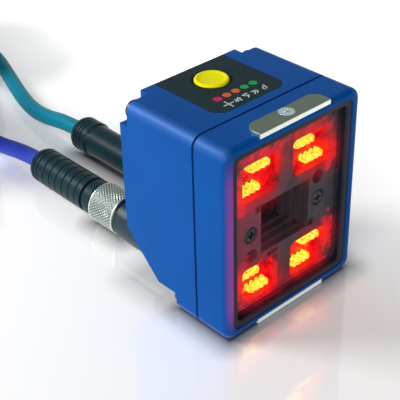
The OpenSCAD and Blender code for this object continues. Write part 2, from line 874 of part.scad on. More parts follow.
module illuminator_standoffs() {
    color("goldenrod") seat() for (sx = [-1, 1]) difference() {
        bar_y(2.2, illum_y1, frame_y, [sx * mask_screw_x, axis_z]);
        bar_y(mask_screw_d / 2 + fit / 2, illum_y1 - 1, frame_y + 1, [sx * mask_screw_x, axis_z]);
    }
}

module optics_frame() {
    color("slategray") seat() difference() {
        union() {
            translate([-frame_w / 2, frame_y, frame_z0]) cube([frame_w, frame_t, frame_z1 - frame_z0]);
            bar_y(collar_r, frame_y, collar_y1, [0, axis_z]);
        }
        bar_y(lens_d / 2 + fit / 2, frame_y - 1, collar_y1 + 1, [0, axis_z]);
        for (p = frame_points) bar_y(frame_screw_d / 2 + fit, frame_y - 1, frame_y1 + 1, p);
        for (p = stack_points) bar_y(stack_screw_d / 2 + fit / 2, frame_y - 1, frame_y1 + 1, p);
    }
}

module frame_screws() {
    color("gainsboro") seat() for (p = frame_points) {
        translate([0, frame_y, 0])
            pan_screw(frame_head_d, frame_head_h, frame_screw_d, frame_t + boss_l - 2, p);
    }
}

// Lens barrel: a groove holds the glass, and a narrower stop looks at the image sensor
module lens_barrel() {
    lip_in = glass_d / 2 - 0.6;
    seat_r = glass_d / 2 + fit / 2;
    stop_r = 3.5;
    stop_l = 1.8;
    color("black") seat() turned_y([
        [lip_in, lens_y], [lens_d / 2 - 0.4, lens_y], [lens_d / 2, lens_y + 0.4],
        [lens_d / 2, lens_y1], [stop_r, lens_y1], [stop_r, lens_y1 - stop_l],
        [lip_in, glass_y + glass_t + stop_l], [lip_in, glass_y + glass_t], [seat_r, glass_y + glass_t], [seat_r, glass_y], [lip_in, glass_y],
    ], [0, axis_z]);
}

// Lens glass: domed in front, flat behind
module lens_glass() {
    color("lightcyan", 0.5) seat() intersection() {
        bar_y(glass_d / 2, glass_y, glass_y + glass_t, [0, axis_z]);
        translate([0, glass_y + glass_curve, axis_z]) sphere(glass_curve);
    }
}

module image_sensor() {
    color("gray") seat() translate([-sensor_w / 2, sensor_y - sensor_t, axis_z - sensor_w / 2])
        cube([sensor_w, sensor_t, sensor_w]);
}

module stack_board(w, y0) {
    z0 = stack_z[0] - stack_edge;
    z1 = stack_z[1] + stack_edge;
    difference() {
        translate([-w / 2, y0, z0]) cube([w, board_t, z1 - z0]);
        for (p = stack_points) bar_y(stack_screw_d / 2 + fit, y0 - 1, y0 + board_t + 1, p);
    }
}

module sensor_board() {
    color("darkgreen") seat() stack_board(2 * (stack_x + stack_edge), sensor_y);
}

module processor_board() {
    color("darkgreen") seat() stack_board(proc_w, proc_y);
}

module spacers(y0, y1) {
    for (p = stack_points) difference() {
        bar_y(spacer_r, y0, y1, p);
        bar_y(stack_screw_d / 2 + fit, y0 - 1, y1 + 1, p);
    }
}

module front_spacers() {
    color("goldenrod") seat() spacers(frame_y1, sensor_y);
}

module rear_spacers() {
    color("goldenrod") seat() spacers(sensor_y1, proc_y);
}

module processor_chip() {
    color("black") seat() translate([-proc_chip_w / 2, proc_y1, stack_z[0] + 2])
        cube([proc_chip_w, proc_chip_t, proc_chip_w]);
}

module stack_screws() {
    color("gainsboro") seat() for (p = stack_points) {
        translate([0, proc_y1, 0]) rotate([0, 0, 180])
            pan_screw(stack_head_d, stack_head_h, stack_screw_d, proc_y1 - frame_y - loose, [-p[0], p[1]]);
    }
}

// Connector block: a stadium-shaped bar along Y, cut to lie on the slope, with a screw ear at each side
module connector_block() {
    cut_y = slope_y - step_h + pad_off;
    color("darkslategray") seat() difference() {
        union() {
            difference() {
                along_y(foot_d, block_y1) rounded(block_w, 0, block_top, block_r - eps);
                along_x(-big, big)
                    polygon([[cut_y - 1, -1], [cut_y + big, big], [cut_y - big, big], [cut_y - big, -1]]);
            }
            for (sx = [-1, 1]) {
                on_slope(pad_y, pad_z) translate([0, 0, pad_t]) linear_extrude(ear_t) union() {
                    translate([sx * ear_x, 0]) circle(ear_l / 2);
                    translate([sx * ear_x / 2, 0]) square([ear_x, ear_l], center = true);
                }
            }
        }
        for (x = conn_x) bar_y(shell_d / 2 + fit / 2, block_y1 - shell_back, block_y1 + 1, [x, conn_z]);
        for (sx = [-1, 1]) {
            on_slope(pad_y, pad_z) translate([sx * ear_x, 0, -1]) cylinder(h = big, r = ear_screw_d / 2 + fit);
        }
    }
}

module block_gasket() {
    color("black") seat() on_slope(pad_y, pad_z) translate([-pad_w / 2, -pad_l / 2, 0])
        cube([pad_w, pad_l, pad_t]);
}

module block_screws() {
    color("black") seat() for (sx = [-1, 1]) {
        on_slope(pad_y, pad_z) translate([sx * ear_x, 0, pad_t + ear_t]) difference() {
            union() {
                cylinder(h = ear_head_h, r = ear_head_d / 2);
                translate([0, 0, -ear_t - pad_t - ear_depth])
                    cylinder(h = ear_t + pad_t + ear_depth + eps, r = ear_screw_d / 2);
            }
            translate([0, 0, ear_head_h - case_socket_h]) cylinder(h = big, r = case_socket_r, $fn = 6);
        }
    }
}

// Moves a connector piece from the block's rear face to its place
module at_conn(i) {
    seat() translate([conn_x[i], block_y1, conn_z]) children();
}

// Pins or their holes on rings round the connector's axis
module pins(rings, r, y0, y1) {
    for (ring = rings, i = [0:ring[0] - 1]) {
        a = 360 * i / ring[0];
        bar_y(r, y0, y1, [ring[1] * cos(a), ring[1] * sin(a)], $fn = 16);
    }
}

// Receptacle: a shell set in the block, a flange, a threaded mouth and the pin carrier in it
module receptacle(rings) {
    difference() {
        turned_y([
            [0, -shell_back], [shell_d / 2, -shell_back], [shell_d / 2, 0], [flange_d / 2, 0],
            [flange_d / 2, flange_l - 0.4], [flange_d / 2 - 0.4, flange_l], [thread_d / 2, flange_l],
            [thread_d / 2, thread_l - 0.6], [thread_d / 2 - 0.6, thread_l], [bore_d / 2, thread_l],
            [bore_d / 2, bore_floor + core_l], [0, bore_floor + core_l],
        ]);
        pins(rings, pin_d / 2 + fit / 2, bore_floor, big);
    }
}

module power_receptacle() {
    color("darkslategray") at_conn(0) receptacle(pin_rings_power);
}

module network_receptacle() {
    color("darkslategray") at_conn(1) receptacle(pin_rings_network);
}

module power_contacts() {
    color("gold") at_conn(0) pins(pin_rings_power, pin_d / 2, bore_floor, bore_floor + pin_l);
}

module network_contacts() {
    color("gold") at_conn(1) pins(pin_rings_network, pin_d / 2, bore_floor, bore_floor + pin_l);
}

// Coupling nut: wide over the thread, narrower round the plug's neck
module coupling_nut() {
    turned_y([
        [thread_d / 2 + 0.2, nut_y], [nut_d / 2 - nut_chamfer, nut_y], [nut_d / 2, nut_y + nut_chamfer],
        [nut_d / 2, nut_y + nut_l - nut_chamfer], [nut_d / 2 - nut_chamfer, nut_y + nut_l],
        [nut_neck_r, nut_y + nut_l], [nut_neck_r, nut_shoulder], [thread_d / 2 + 0.2, nut_shoulder],
    ]);
}

module power_nut() {
    color("silver") at_conn(0) coupling_nut();
}

module network_nut() {
    color("silver") at_conn(1) coupling_nut();
}

// Plug core: the pin holes in front, a ring that the nut pulls on, and a neck that goes into the grip
module plug_core(rings) {
    ring_r = nut_neck_r + 0.5;
    ring_y = thread_l + fit;
    ring_y1 = nut_shoulder - fit;
    neck_r = nut_neck_r - loose;
    difference() {
        turned_y([
            [0, plug_core_y], [plug_core_r, plug_core_y], [plug_core_r, ring_y], [ring_r, ring_y],
            [ring_r, ring_y1], [neck_r, ring_y1], [neck_r, grip_y], [0, grip_y],
        ]);
        pins(rings, pin_d / 2 + fit, plug_core_y - 1, bore_floor + pin_l + loose);
    }
}

module power_plug_core() {
    color("black") at_conn(0) plug_core(pin_rings_power);
}

module network_plug_core() {
    color("black") at_conn(1) plug_core(pin_rings_network);
}

// Grip of the power plug: a front collar, a neck, a barrel with ring grooves and a rounded rear cap
module power_grip() {
    r = grip_d / 2;
    y_neck = grip_y + collar_l;
    y_barrel = y_neck + neck_l;
    y_end = grip_y + grip_power_l;
    y_rim = y_end - cap_l;
    grooves = floor((y_rim - y_barrel) / groove_pitch);
    color("darkslategray") at_conn(0) difference() {
        union() {
            turned_y([
                [0, grip_y], [r - 0.3, grip_y], [r, grip_y + 0.4], [r, y_neck], [r - 1, y_neck],
                [r - 1, y_barrel],
                [r, y_barrel], [r, y_end - 2.2], [r - 0.6, y_end - 0.9], [r - 1.6, y_end - 0.2],
                [r - 2.4, y_end], [0, y_end],
            ]);
        }
        for (i = [1:grooves]) ring_groove(r, y_barrel + i * groove_pitch - groove_w);
        ring_groove(r, y_rim);
    }
}

// Shallow groove round a grip
module ring_groove(r, y) {
    turned_y([[r - groove_d, y], [r + 1, y - groove_w / 2 - 0.3], [r + 1, y + groove_w / 2 + 0.3]]);
}

// Grip of the network plug: a smooth barrel with two lengthwise ribs and a wider rear collar
module network_grip() {
    r = grip_d / 2;
    y_neck = grip_y + collar_l;
    y_barrel = y_neck + neck_l;
    y_end = grip_y + grip_network_l;
    y_collar = y_end - grip_collar_l;
    color("darkslategray") at_conn(1) difference() {
        union() {
            turned_y([
                [0, grip_y], [r - 0.3, grip_y], [r, grip_y + 0.4], [r, y_neck], [r - 1, y_neck],
                [r - 1, y_barrel],
                [r - 0.4, y_barrel], [r - 0.4, y_collar - 1], [r + 0.2, y_collar], [r + 0.2, y_end - 2.2],
                [r - 0.5, y_end - 0.9], [r - 1.6, y_end - 0.2], [r - 2.4, y_end], [0, y_end],
            ]);
            for (a = [0, 180]) {
                rotate([0, a + 45, 0]) translate([r - 1, y_barrel + 0.5, -0.4])
                    cube([0.9, y_collar - y_barrel - 1, 0.8]);
            }
        }
        for (y = [y_collar + 2.4, y_collar + 4, y_end - cap_l]) ring_groove(r + 0.2, y);
    }
}

// Lays a cord's pieces where its plug has moved to
module lay(shift) {
    translate([shift[0], shift[1], 0]) children();
}

// Route of a lead whose plug stands higher or lower: the change fades out towards the floor
function raised(route, dz) =
    let (z0 = route[0][2], z1 = route[len(route) - 1][2])
    [for (p = route) p + [0, 0, dz * max(0, p[2] - z1) / (z0 - z1)]];

// Unit vector
function unit(v) = v / norm(v);

// Direction of a route at one of its points
function heading(route, i) = unit(route[min(i + 1, len(route) - 1)] - route[max(i - 1, 0)]);

// Ring of points round a route at one of its points
function ring_at(route, i, r) =
    let (t = heading(route, i), side = unit(cross(t, [0, 0, 1])), up = cross(side, t))
    [for (k = [0:cable_sides - 1])
        let (a = 360 * k / cable_sides) route[i] + r * (cos(a) * side + sin(a) * up)];

// Tube swept along a route, closed at both ends
module swept_tube(route, r) {
    n = cable_sides;
    last = len(route) - 1;
    points = [for (i = [0:last]) each ring_at(route, i, r)];
    sides = [for (i = [0:last - 1], k = [0:n - 1])
        [i * n + k, (i + 1) * n + k, (i + 1) * n + (k + 1) % n, i * n + (k + 1) % n]];
    start = [[for (k = [0:n - 1]) k]];
    end = [[for (k = [n - 1:-1:0]) last * n + k]];
    polyhedron(points, concat(sides, start, end));
}

module power_cable() {
    color("royalblue") lay(power_shift) {
        swept_tube(raised(power_lead, power_shift[2]), cable_d / 2);
        swept_tube(power_tail, cable_d / 2);
    }
}

module network_cable() {
    color("darkcyan") lay(network_shift) {
        swept_tube(raised(network_lead, network_shift[2]), cable_d / 2);
        swept_tube(network_tail, cable_d / 2);
    }
}

// Outline of a hank's turns, out to a radius
module fold_outline(run, r) {
    translate([-r, 0]) square([2 * r, run]);
    for (y = [0, run]) translate([0, y]) circle(r);
}

// Outer form of a hank: one turn wide, with round folds at both ends
module hank(centre, run) {
    r = cable_d / 2;
    translate([centre[0], centre[1], hank_lift]) linear_extrude(hank_turns * cable_d) difference() {
        fold_outline(run, hank_r + r);
        fold_outline(run, hank_r - r);
    }
}

module power_hank() {
    color("royalblue") lay(power_shift) hank(hank_power, run_power);
}

module network_hank() {
    color("darkcyan") lay(network_shift) hank(hank_network, run_network);
}

// Strap round the turns of a hank, which lead off at an angle from +Y
module hank_tie(place, angle) {
    w = cable_d + 2 * tie_gap;
    h = hank_turns * cable_d + 2 * tie_gap;
    translate([place[0], place[1], 0]) rotate([0, 0, angle]) along_y(-tie_w / 2, tie_w / 2) difference() {
        translate([-w / 2 - tie_t, 0]) square([w + 2 * tie_t, h + 2 * tie_t]);
        translate([-w / 2, tie_t]) square([w, h]);
    }
}

module power_tie() {
    color("black") lay(power_shift) hank_tie(tie_power, 90);
}

module network_tie() {
    color("black") lay(network_shift) hank_tie(tie_network, 0);
}

// Open wire ends of the power cable, round the cable's end
module power_wires() {
    end = power_tail[len(power_tail) - 1];
    color("ivory") lay(power_shift) translate(end) for (i = [0:wire_n - 1]) {
        a = 360 * i / wire_n + 18;
        translate([wire_ring * cos(a), 0, wire_ring * sin(a)]) rotate([-90, 0, 0]) {
            cylinder(h = wire_l, r = wire_d / 2);
            cylinder(h = wire_l + strip_l, r = wire_d / 4);
        }
    }
}

// Tapered boot of the network plug, behind the cable's end
module network_boot() {
    end = network_tail[len(network_tail) - 1];
    r = cable_d / 2;
    color("darkcyan") lay(network_shift) translate(end) rotate([-90, 0, 0]) rotate_extrude() polygon([
        [0, 0], [r + 0.5, 0], [r + 1, boot_l], [0, boot_l],
    ]);
}

// Eight-way network plug on its side: a clear block with a latch lever and a row of contact slots
module network_plug() {
    end = network_tail[len(network_tail) - 1];
    slot_n = 8;
    place = end + [0, boot_l + jack_l, 0];
    color("lightgray") lay(network_shift) translate(place) rotate([0, 0, -90]) rotate([90, 0, 0])
    translate([0, 0, -jack_h / 2]) difference() {
        union() {
            translate([0, -jack_w / 2, 0]) cube([jack_l, jack_w, jack_h - jack_step]);
            translate([0, -jack_w / 2 + jack_step, 0]) cube([jack_l, jack_w - 2 * jack_step, jack_h]);
            translate([jack_step, -latch_w / 2, jack_h - latch_t]) rotate([0, -latch_a, 0])
                cube([latch_l, latch_w, latch_t]);
        }
        for (i = [0:slot_n - 1]) {
            y = (i - (slot_n - 1) / 2) * slot_pitch;
            translate([-1, y - slot_w / 2, -1]) cube([slot_l + 1, slot_w, slot_h + 1]);
        }
    }
}

rear_housing();
front_cover();
cover_seal();
window_pane();
window_gasket();
top_clip_plate();
bottom_clip_plate();
clip_screws();
case_screws();
control_panel();
push_button();
button_switch();
red_light();
amber_lights();
green_lights();
status_chips();
control_board();
control_board_screws();
light_mask();
mask_screws();
led_bars();
reflector_trays();
pointer_lenses();
illuminator_board();
illuminator_standoffs();
optics_frame();
frame_screws();
lens_barrel();
lens_glass();
image_sensor();
sensor_board();
front_spacers();
rear_spacers();
processor_board();
processor_chip();
stack_screws();
connector_block();
block_gasket();
block_screws();
power_receptacle();
network_receptacle();
power_contacts();
network_contacts();
power_nut();
network_nut();
power_plug_core();
network_plug_core();
power_grip();
network_grip();
power_cable();
network_cable();
power_hank();
network_hank();
power_tie();
network_tie();
power_wires();
network_boot();
network_plug();
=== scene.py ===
# %% [markdown]
# # A fixed barcode reader, dressed in Blender
# The packed part gives the case, the boards, the plugs and the cords as plain solids, all in one frame:
# metres, +Z up, the window towards -Y. This file keeps those solids where they are and gives them their
# finish. A solid whose edges should catch the light gets a softened copy; a few pieces that a lathe, a
# knurling wheel or a printer would make are worked out here as surfaces.

# %% Load the part and keep its box
import math

import bmesh
import bpy
import numpy as np
from mathutils import Matrix, Vector


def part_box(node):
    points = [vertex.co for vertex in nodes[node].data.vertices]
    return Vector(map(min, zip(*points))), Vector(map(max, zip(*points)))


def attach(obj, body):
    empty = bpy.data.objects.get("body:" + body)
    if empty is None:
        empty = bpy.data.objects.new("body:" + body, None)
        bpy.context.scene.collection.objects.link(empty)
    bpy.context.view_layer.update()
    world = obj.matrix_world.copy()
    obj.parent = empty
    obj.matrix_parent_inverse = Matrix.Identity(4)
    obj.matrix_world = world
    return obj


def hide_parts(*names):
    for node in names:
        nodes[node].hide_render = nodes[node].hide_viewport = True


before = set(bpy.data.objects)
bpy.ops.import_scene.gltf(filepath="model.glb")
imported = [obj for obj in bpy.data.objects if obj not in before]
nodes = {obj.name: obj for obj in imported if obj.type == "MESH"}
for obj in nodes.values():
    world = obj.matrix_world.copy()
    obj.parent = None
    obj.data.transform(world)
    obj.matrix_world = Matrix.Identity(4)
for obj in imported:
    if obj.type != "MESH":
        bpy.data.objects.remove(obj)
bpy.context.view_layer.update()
MM = 0.001
READER = "reader"
BUTTON = "button"

# %% [markdown]
# ## The camera
# The photograph looks down on the reader from its front left. A camera can be turned by eye until a render
# agrees. This one's angles were fitted to the corners of the case, whose sizes are known. The picture is
# square, so a focal length in pixels turns straight into millimetres on a 36 mm sensor.

# %% Place the camera
VIEW_AZIMUTH, VIEW_ELEVATION, VIEW_ROLL = -42.11, 33.41, -1.53
VIEW_DISTANCE, VIEW_RIGHT, VIEW_UP = 317.95 * MM, -27.46 * MM, 31.03 * MM
FOCAL_PIXELS, PICTURE_PIXELS, SENSOR_MM = 1050.51, 400, 36
FRONT_FACE = np.array([0, -36, 0]) * MM


def new_object(name, data):
    """An object with this data, in the scene and at its origin."""
    made = bpy.data.objects.new(name, data)
    bpy.context.scene.collection.objects.link(made)
    return made


def camera_axes(azimuth, elevation, roll):
    """Right, up and back of a camera. Back points from the part to the camera; roll turns the picture."""
    a, e, r = np.radians([azimuth, elevation, roll])
    back = np.array([math.sin(a) * math.cos(e), -math.cos(a) * math.cos(e), math.sin(e)])
    right = np.array([math.cos(a), math.sin(a), 0])
    up = np.cross(back, right)
    return math.cos(r) * right + math.sin(r) * up, math.cos(r) * up - math.sin(r) * right, back


view_right, view_up, view_back = camera_axes(VIEW_AZIMUTH, VIEW_ELEVATION, VIEW_ROLL)
eye = FRONT_FACE + VIEW_DISTANCE * view_back + VIEW_RIGHT * view_right + VIEW_UP * view_up
camera_data = bpy.data.cameras.new("photo_camera")
camera_data.sensor_width = SENSOR_MM
camera_data.lens = SENSOR_MM * FOCAL_PIXELS / PICTURE_PIXELS
camera_data.clip_start = 10 * MM
camera = new_object("photo_camera", camera_data)
camera_turn = Matrix(np.column_stack([view_right, view_up, view_back])).to_4x4()
camera.matrix_world = Matrix.Translation(eye) @ camera_turn
bpy.context.scene.camera = camera
print(f"camera at {np.round(eye, 3)}, lens {camera_data.lens:.1f} mm")

# %% [markdown]
# ## Pieces worked out as surfaces
# A cord, a knurled nut or a button cap could be pushed into shape by hand. A formula gives the same shape on
# each run. Two parameters run along the rows and columns of a grid, numpy works out all its points at once,
# and neighbours share a face.

# %% Surface helpers
WELD = 1e-7


def grid_faces(rows, columns, wrap_rows=False, wrap_columns=False):
    """Quads between the neighbours of a grid, row by row; a wrapped side joins its end to its start."""
    last_row, last_column = rows - (not wrap_rows), columns - (not wrap_columns)
    i, j = np.meshgrid(np.arange(last_row), np.arange(last_column), indexing="ij")
    i2, j2 = (i + 1) % rows, (j + 1) % columns
    corners = [i * columns + j, i2 * columns + j, i2 * columns + j2, i * columns + j2]
    return np.stack(corners, -1).reshape(-1, 4)


def new_piece(name, points, faces, smooth_angle=40):
    """One mesh object at the origin from points (metres) and faces, welded, facing outwards."""
    mesh = bpy.data.meshes.new(name)
    mesh.from_pydata(np.asarray(points).tolist(), [], [list(map(int, f)) for f in faces])
    shape = bmesh.new()
    shape.from_mesh(mesh)
    bmesh.ops.remove_doubles(shape, verts=shape.verts, dist=WELD)
    bmesh.ops.recalc_face_normals(shape, faces=shape.faces)
    shape.to_mesh(mesh)
    shape.free()
    mesh.shade_smooth()
    mesh.set_sharp_from_angle(angle=math.radians(smooth_angle))
    return new_object(name, mesh)


print("surfaces: a grid of 2 by 3 points has", len(grid_faces(2, 3)), "faces")

# %% [markdown]
# ## Softened copies of solids
# No casting or moulding has a knife edge, and a rounded edge is what catches the light. Rounding the part's
# own solids would make them heavy. So a copy is merged from its loose triangles, flat neighbours are joined,
# and a Bevel modifier rounds what is sharp.

# %% Softened copies
CAD_WELD = 2e-6
FLAT_BEND, FLAT_RIM_BEND, SHARP_BEND = 0.4, 1, 30
FLAT_FACE = 8e-6


def softened(node, width=0.2, segments=2):
    """A copy of a CAD node with its edges rounded by width (mm), which then stands for the node.

    An edge stays smooth where its faces meet at less than SHARP_BEND, except round a large flat face
    (FLAT_FACE, square metres): that one keeps its own straight shading.
    """
    mesh = nodes[node].data.copy()
    mesh.name = f"{node}_soft"
    shape = bmesh.new()
    shape.from_mesh(mesh)
    bmesh.ops.remove_doubles(shape, verts=shape.verts, dist=CAD_WELD)
    bmesh.ops.dissolve_limit(shape, angle_limit=math.radians(FLAT_BEND), verts=shape.verts, edges=shape.edges)
    for face in shape.faces:
        face.smooth = True
    for edge in shape.edges:
        beside_flat = max(f.calc_area() for f in edge.link_faces) > FLAT_FACE
        bend = math.degrees(edge.calc_face_angle(0))
        edge.smooth = bend < (FLAT_RIM_BEND if beside_flat else SHARP_BEND)
    shape.to_mesh(mesh)
    shape.free()
    mesh.materials.clear()
    piece = new_object(f"{node}_soft", mesh)
    if width:
        bevel = piece.modifiers.new("soft_edges", "BEVEL")
        bevel.width = width * MM
        bevel.segments = segments
        bevel.limit_method = "ANGLE"
        bevel.angle_limit = math.radians(SHARP_BEND)
        bevel.harden_normals = True
    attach(piece, READER)
    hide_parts(node)
    return piece


print("copies count faces over", FLAT_FACE / MM ** 2, "mm2 as large and flat")

# %% [markdown]
# ## The two cords
# Both cables are moulded to round plugs. The photograph shows only their first centimetres, so each is drawn
# as a one metre lead, the shortest that is sold. The rest is folded up behind the reader: four turns of a
# long loop, one on top of the other, held by a strap. Each turn climbs one cable width in its last fold. A
# curve object would do too, but a tube of numpy points keeps its length exact.

# %% Routes of the cords
CABLE_RADIUS = 3 * MM
# From here on in millimetres, until smooth_route turns a route into metres.
HANK_RADIUS, HANK_TURNS, HANK_LOW, HANK_STEP = 18.5, 4, 4, 6
CLIMB_RUN, CLIMB_FOLD = 20, 0.75
FOLD_POINTS, JOIN_GAP = 12, 0.1
POWER_HANK, POWER_RUN = (-31.7, 114), 61.2
NETWORK_HANK, NETWORK_RUN = (12, 179), 53.6
POWER_LEAD = [
    (-12, 74, 7.3), (-12, 77, 7.3), (-12, 80, 7.2), (-12, 83, 6.9), (-12, 86, 6.5), (-12.1, 89, 6.1),
    (-12.2, 92, 5.6), (-12.4, 95, 5.1), (-12.6, 98, 4.7), (-12.8, 101, 4.4), (-13, 104, 4.2), (-13.1, 108, 4),
    (-13.2, 114, 4),
]
POWER_TAIL = [
    (-50.2, 114, 23.4), (-48.8, 106.9, 24.4), (-44.8, 100.9, 25.4), (-38.8, 96.9, 26.4), (-31.7, 95.5, 27.2),
    (-24.6, 96.9, 27.8), (-18.6, 100.9, 28), (-14.6, 106.9, 28), (-13.2, 114, 28), (-13.2, 118, 28),
]
NETWORK_LEAD = [
    (12, 82, 7.3), (12, 86, 7.3), (12, 94, 6.6), (12, 103, 5), (12.6, 111, 3.8), (14, 119, 3.3),
    (16.2, 127, 3.2), (19.2, 136, 3.2), (22.4, 145, 3.2), (25.6, 154, 3.2), (28.2, 162, 3.4),
    (29.9, 170, 3.8), (30.5, 179, 4),
]
NETWORK_TAIL = [
    (-6.5, 179, 23.4), (-5.1, 171.9, 25), (-1.1, 165.9, 26.6), (4.9, 161.9, 28.2), (12, 160.5, 29.6),
    (19.1, 161.9, 30.6), (25.1, 165.9, 31), (29.1, 171.9, 31), (30.5, 179, 31), (30.5, 183, 31),
]


def ease(t):
    """0 below 0, 1 above 1, and 3t^2 - 2t^3 between, which starts and ends level."""
    t = np.clip(t, 0, 1)
    return t * t * (3 - 2 * t)


def hank_turns(centre, run):
    """Points (mm) of a folded cord between its first run and its last fold.

    A turn is two straight runs and two half circles. How far along it a point is gives its angle round the
    folds and its shift along the runs; the height climbs one step over the end of a run and part of a fold.
    """
    fold = math.pi * HANK_RADIUS
    turn = 2 * (run + fold)
    bits = np.arange(FOLD_POINTS) / FOLD_POINTS
    straight, bent = run * bits[::2], fold * bits
    lap = np.concatenate([straight, run + bent, run + fold + straight, turn - fold + bent])
    along = (lap + turn * np.arange(HANK_TURNS)[:, None]).ravel()
    along = along[(along > JOIN_GAP) & (along < HANK_TURNS * turn - fold - JOIN_GAP)]
    at = along % turn
    last_fold = at - (turn - fold)
    angle = (np.clip(at - run, 0, fold) + np.clip(last_fold, 0, fold)) / HANK_RADIUS
    shift = np.clip(at, 0, run) - np.clip(at - run - fold, 0, run)
    climb = ease((last_fold + CLIMB_RUN) / (CLIMB_RUN + CLIMB_FOLD * fold))
    height = HANK_LOW + HANK_STEP * (along // turn + climb)
    x = centre[0] + HANK_RADIUS * np.cos(angle)
    y = centre[1] + HANK_RADIUS * np.sin(angle) + shift
    return np.column_stack([x, y, height])


def smooth_route(points, step=1.6):
    """A curve through points: cubic Hermite pieces whose slopes weigh both neighbouring chords by length."""
    p = np.asarray(points, float)
    chord = np.linalg.norm(np.diff(p, axis=0), axis=1)[:, None]
    slope = np.diff(p, axis=0) / chord
    inner = (slope[:-1] * chord[1:] + slope[1:] * chord[:-1]) / (chord[:-1] + chord[1:])
    tangent = np.vstack([slope[:1], inner, slope[-1:]])
    count = np.maximum(2, np.ceil(chord[:, 0] / step)).astype(int)
    piece = np.repeat(np.arange(len(count)), count)
    t = np.concatenate([np.arange(n) / n for n in count])[:, None]
    c, a, b = chord[piece], p[piece], p[piece + 1]
    curve = (
        (1 + 2 * t) * (1 - t) ** 2 * a + t * (1 - t) ** 2 * c * tangent[piece]
        + t * t * (3 - 2 * t) * b + t * t * (t - 1) * c * tangent[piece + 1]
    )
    return np.vstack([curve, p[-1:]]) * MM


paths = {
    "power": smooth_route([*POWER_LEAD, *hank_turns(POWER_HANK, POWER_RUN), *POWER_TAIL]),
    "network": smooth_route([*NETWORK_LEAD, *hank_turns(NETWORK_HANK, NETWORK_RUN), *NETWORK_TAIL]),
}
for name, path in paths.items():
    print(name, "cord", round(float(np.linalg.norm(np.diff(path, axis=0), axis=1).sum()), 3), "m")

# %% [markdown] A jacket is a circle carried along its route.

def cord_tube(name, path, radius=CABLE_RADIUS, sides=18):
    """A circle carried along a path that never stands upright: its sideways axis is the heading across +Z."""
    heading = np.gradient(path, axis=0)
    heading /= np.linalg.norm(heading, axis=1)[:, None]
    side = np.cross(heading, [0, 0, 1])
    side /= np.linalg.norm(side, axis=1)[:, None]
    rise = np.cross(side, heading)
    a = np.arange(sides) * 2 * np.pi / sides
    ring = np.cos(a)[None, :, None] * side[:, None] + np.sin(a)[None, :, None] * rise[:, None]
    points = (path[:, None] + radius * ring).reshape(-1, 3)
    ends = [np.arange(sides), np.arange(sides) + (len(path) - 1) * sides]
    return new_piece(name, points, [*grid_faces(len(path), sides, wrap_columns=True), *ends])


cords = {name: cord_tube(f"{name}_cord", path) for name, path in paths.items()}
straps = [softened("power_tie"), softened("network_tie")]
open_wires = softened("power_wires", 0)
plug_boot = softened("network_boot", 0.4)
clear_plug = softened("network_plug", 0.15)
for name, jacket, far_end, on_it in (
    ("power", "blue_cable", "bare", [straps[0], open_wires]),
    ("network", "teal_cable", "plug", [straps[1], plug_boot, clear_plug]),
):
    cord, path = cords[name], paths[name]
    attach(cord, READER)
    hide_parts(f"{name}_cable", f"{name}_hank")
    print(cord.name, "carries", [piece.name for piece in on_it])

# %% [markdown]
# ## Wiring shader nodes
# Materials are trees of nodes, which can be wired by hand in the shader editor. A script needs four lines a
# node for that, so one small class adds a node and joins it in a single call. It also holds the steps of
# arithmetic that the finishes below are made of.

# %% Node wiring
class Wiring:
    """Adds nodes to a tree and joins them. A value may be a number, a colour or another node's socket."""

    def __init__(self, tree):
        self.tree = tree

    def join(self, value, socket):
        """Links a socket to a socket, or sets a plain value on it."""
        if isinstance(value, bpy.types.NodeSocket):
            self.tree.links.new(value, socket)
        else:
            socket.default_value = value

    def node(self, kind, inputs=None, **settings):
        """A new node: node("Math", {0: value}, operation="ADD")."""
        made = self.tree.nodes.new(f"ShaderNode{kind}")
        for key, value in settings.items():
            setattr(made, key, value)
        for key, value in (inputs or {}).items():
            self.join(value, made.inputs[key])
        return made

    def place(self):
        """Where a point is, in the piece's own coordinates."""
        return self.node("TexCoord").outputs["Object"]

    def axes(self):
        """The same place as three numbers, by axis."""
        return self.node("SeparateXYZ", {0: self.place()}).outputs

    def math(self, operation, a, b=0.0, clamp=False):
        """One step of arithmetic."""
        return self.node("Math", {0: a, 1: b}, operation=operation, use_clamp=clamp).outputs[0]

    def grown(self, value, start, span):
        """0 up to a start, growing to 1 over a span; a negative span grows the other way."""
        return self.math("DIVIDE", self.math("SUBTRACT", value, start), span, clamp=True)

    def beyond(self, value, centre, half):
        """How far a value lies outside centre plus or minus half, and 0 inside."""
        aside = self.math("ABSOLUTE", self.math("SUBTRACT", value, centre))
        return self.math("MAXIMUM", self.math("SUBTRACT", aside, half), 0.0)

    def length(self, a, b):
        """The square root of a squared plus b squared."""
        return self.math("SQRT", self.math("ADD", self.math("POWER", a, 2), self.math("POWER", b, 2)))

    def from_share(self, share, least):
        """A share from 0 to 1 as a number from least to 1."""
        return self.math("ADD", self.math("MULTIPLY", share, 1 - least), least)

    def mix(self, factor, a, b):
        """Colour a where the factor is 0 and b where it is 1, through a Mix node's colour sockets."""
        return self.node("Mix", {0: factor, 6: a, 7: b}, data_type="RGBA").outputs[2]

    def noise(self, vector, scale, detail=3.0, roughness=0.55):
        """Soft noise from 0 to 1, about a half."""
        inputs = {"Vector": vector, "Scale": scale, "Detail": detail, "Roughness": roughness}
        return self.node("TexNoise", inputs).outputs["Fac"]

    def swing(self, noise, amount):
        """Noise about 0 instead of about a half, times an amount."""
        return self.math("MULTIPLY", self.math("SUBTRACT", noise, 0.5), amount)

    def ramp(self, factor, stops, interpolation="LINEAR"):
        """A colour from stops of (place, colour)."""
        made = self.node("ValToRGB", {"Fac": factor})
        made.color_ramp.interpolation = interpolation
        for i, (place, colour) in enumerate(stops):
            stop = made.color_ramp.elements[i] if i < 2 else made.color_ramp.elements.new(place)
            stop.position = place
            stop.color = colour
        return made.outputs["Color"]


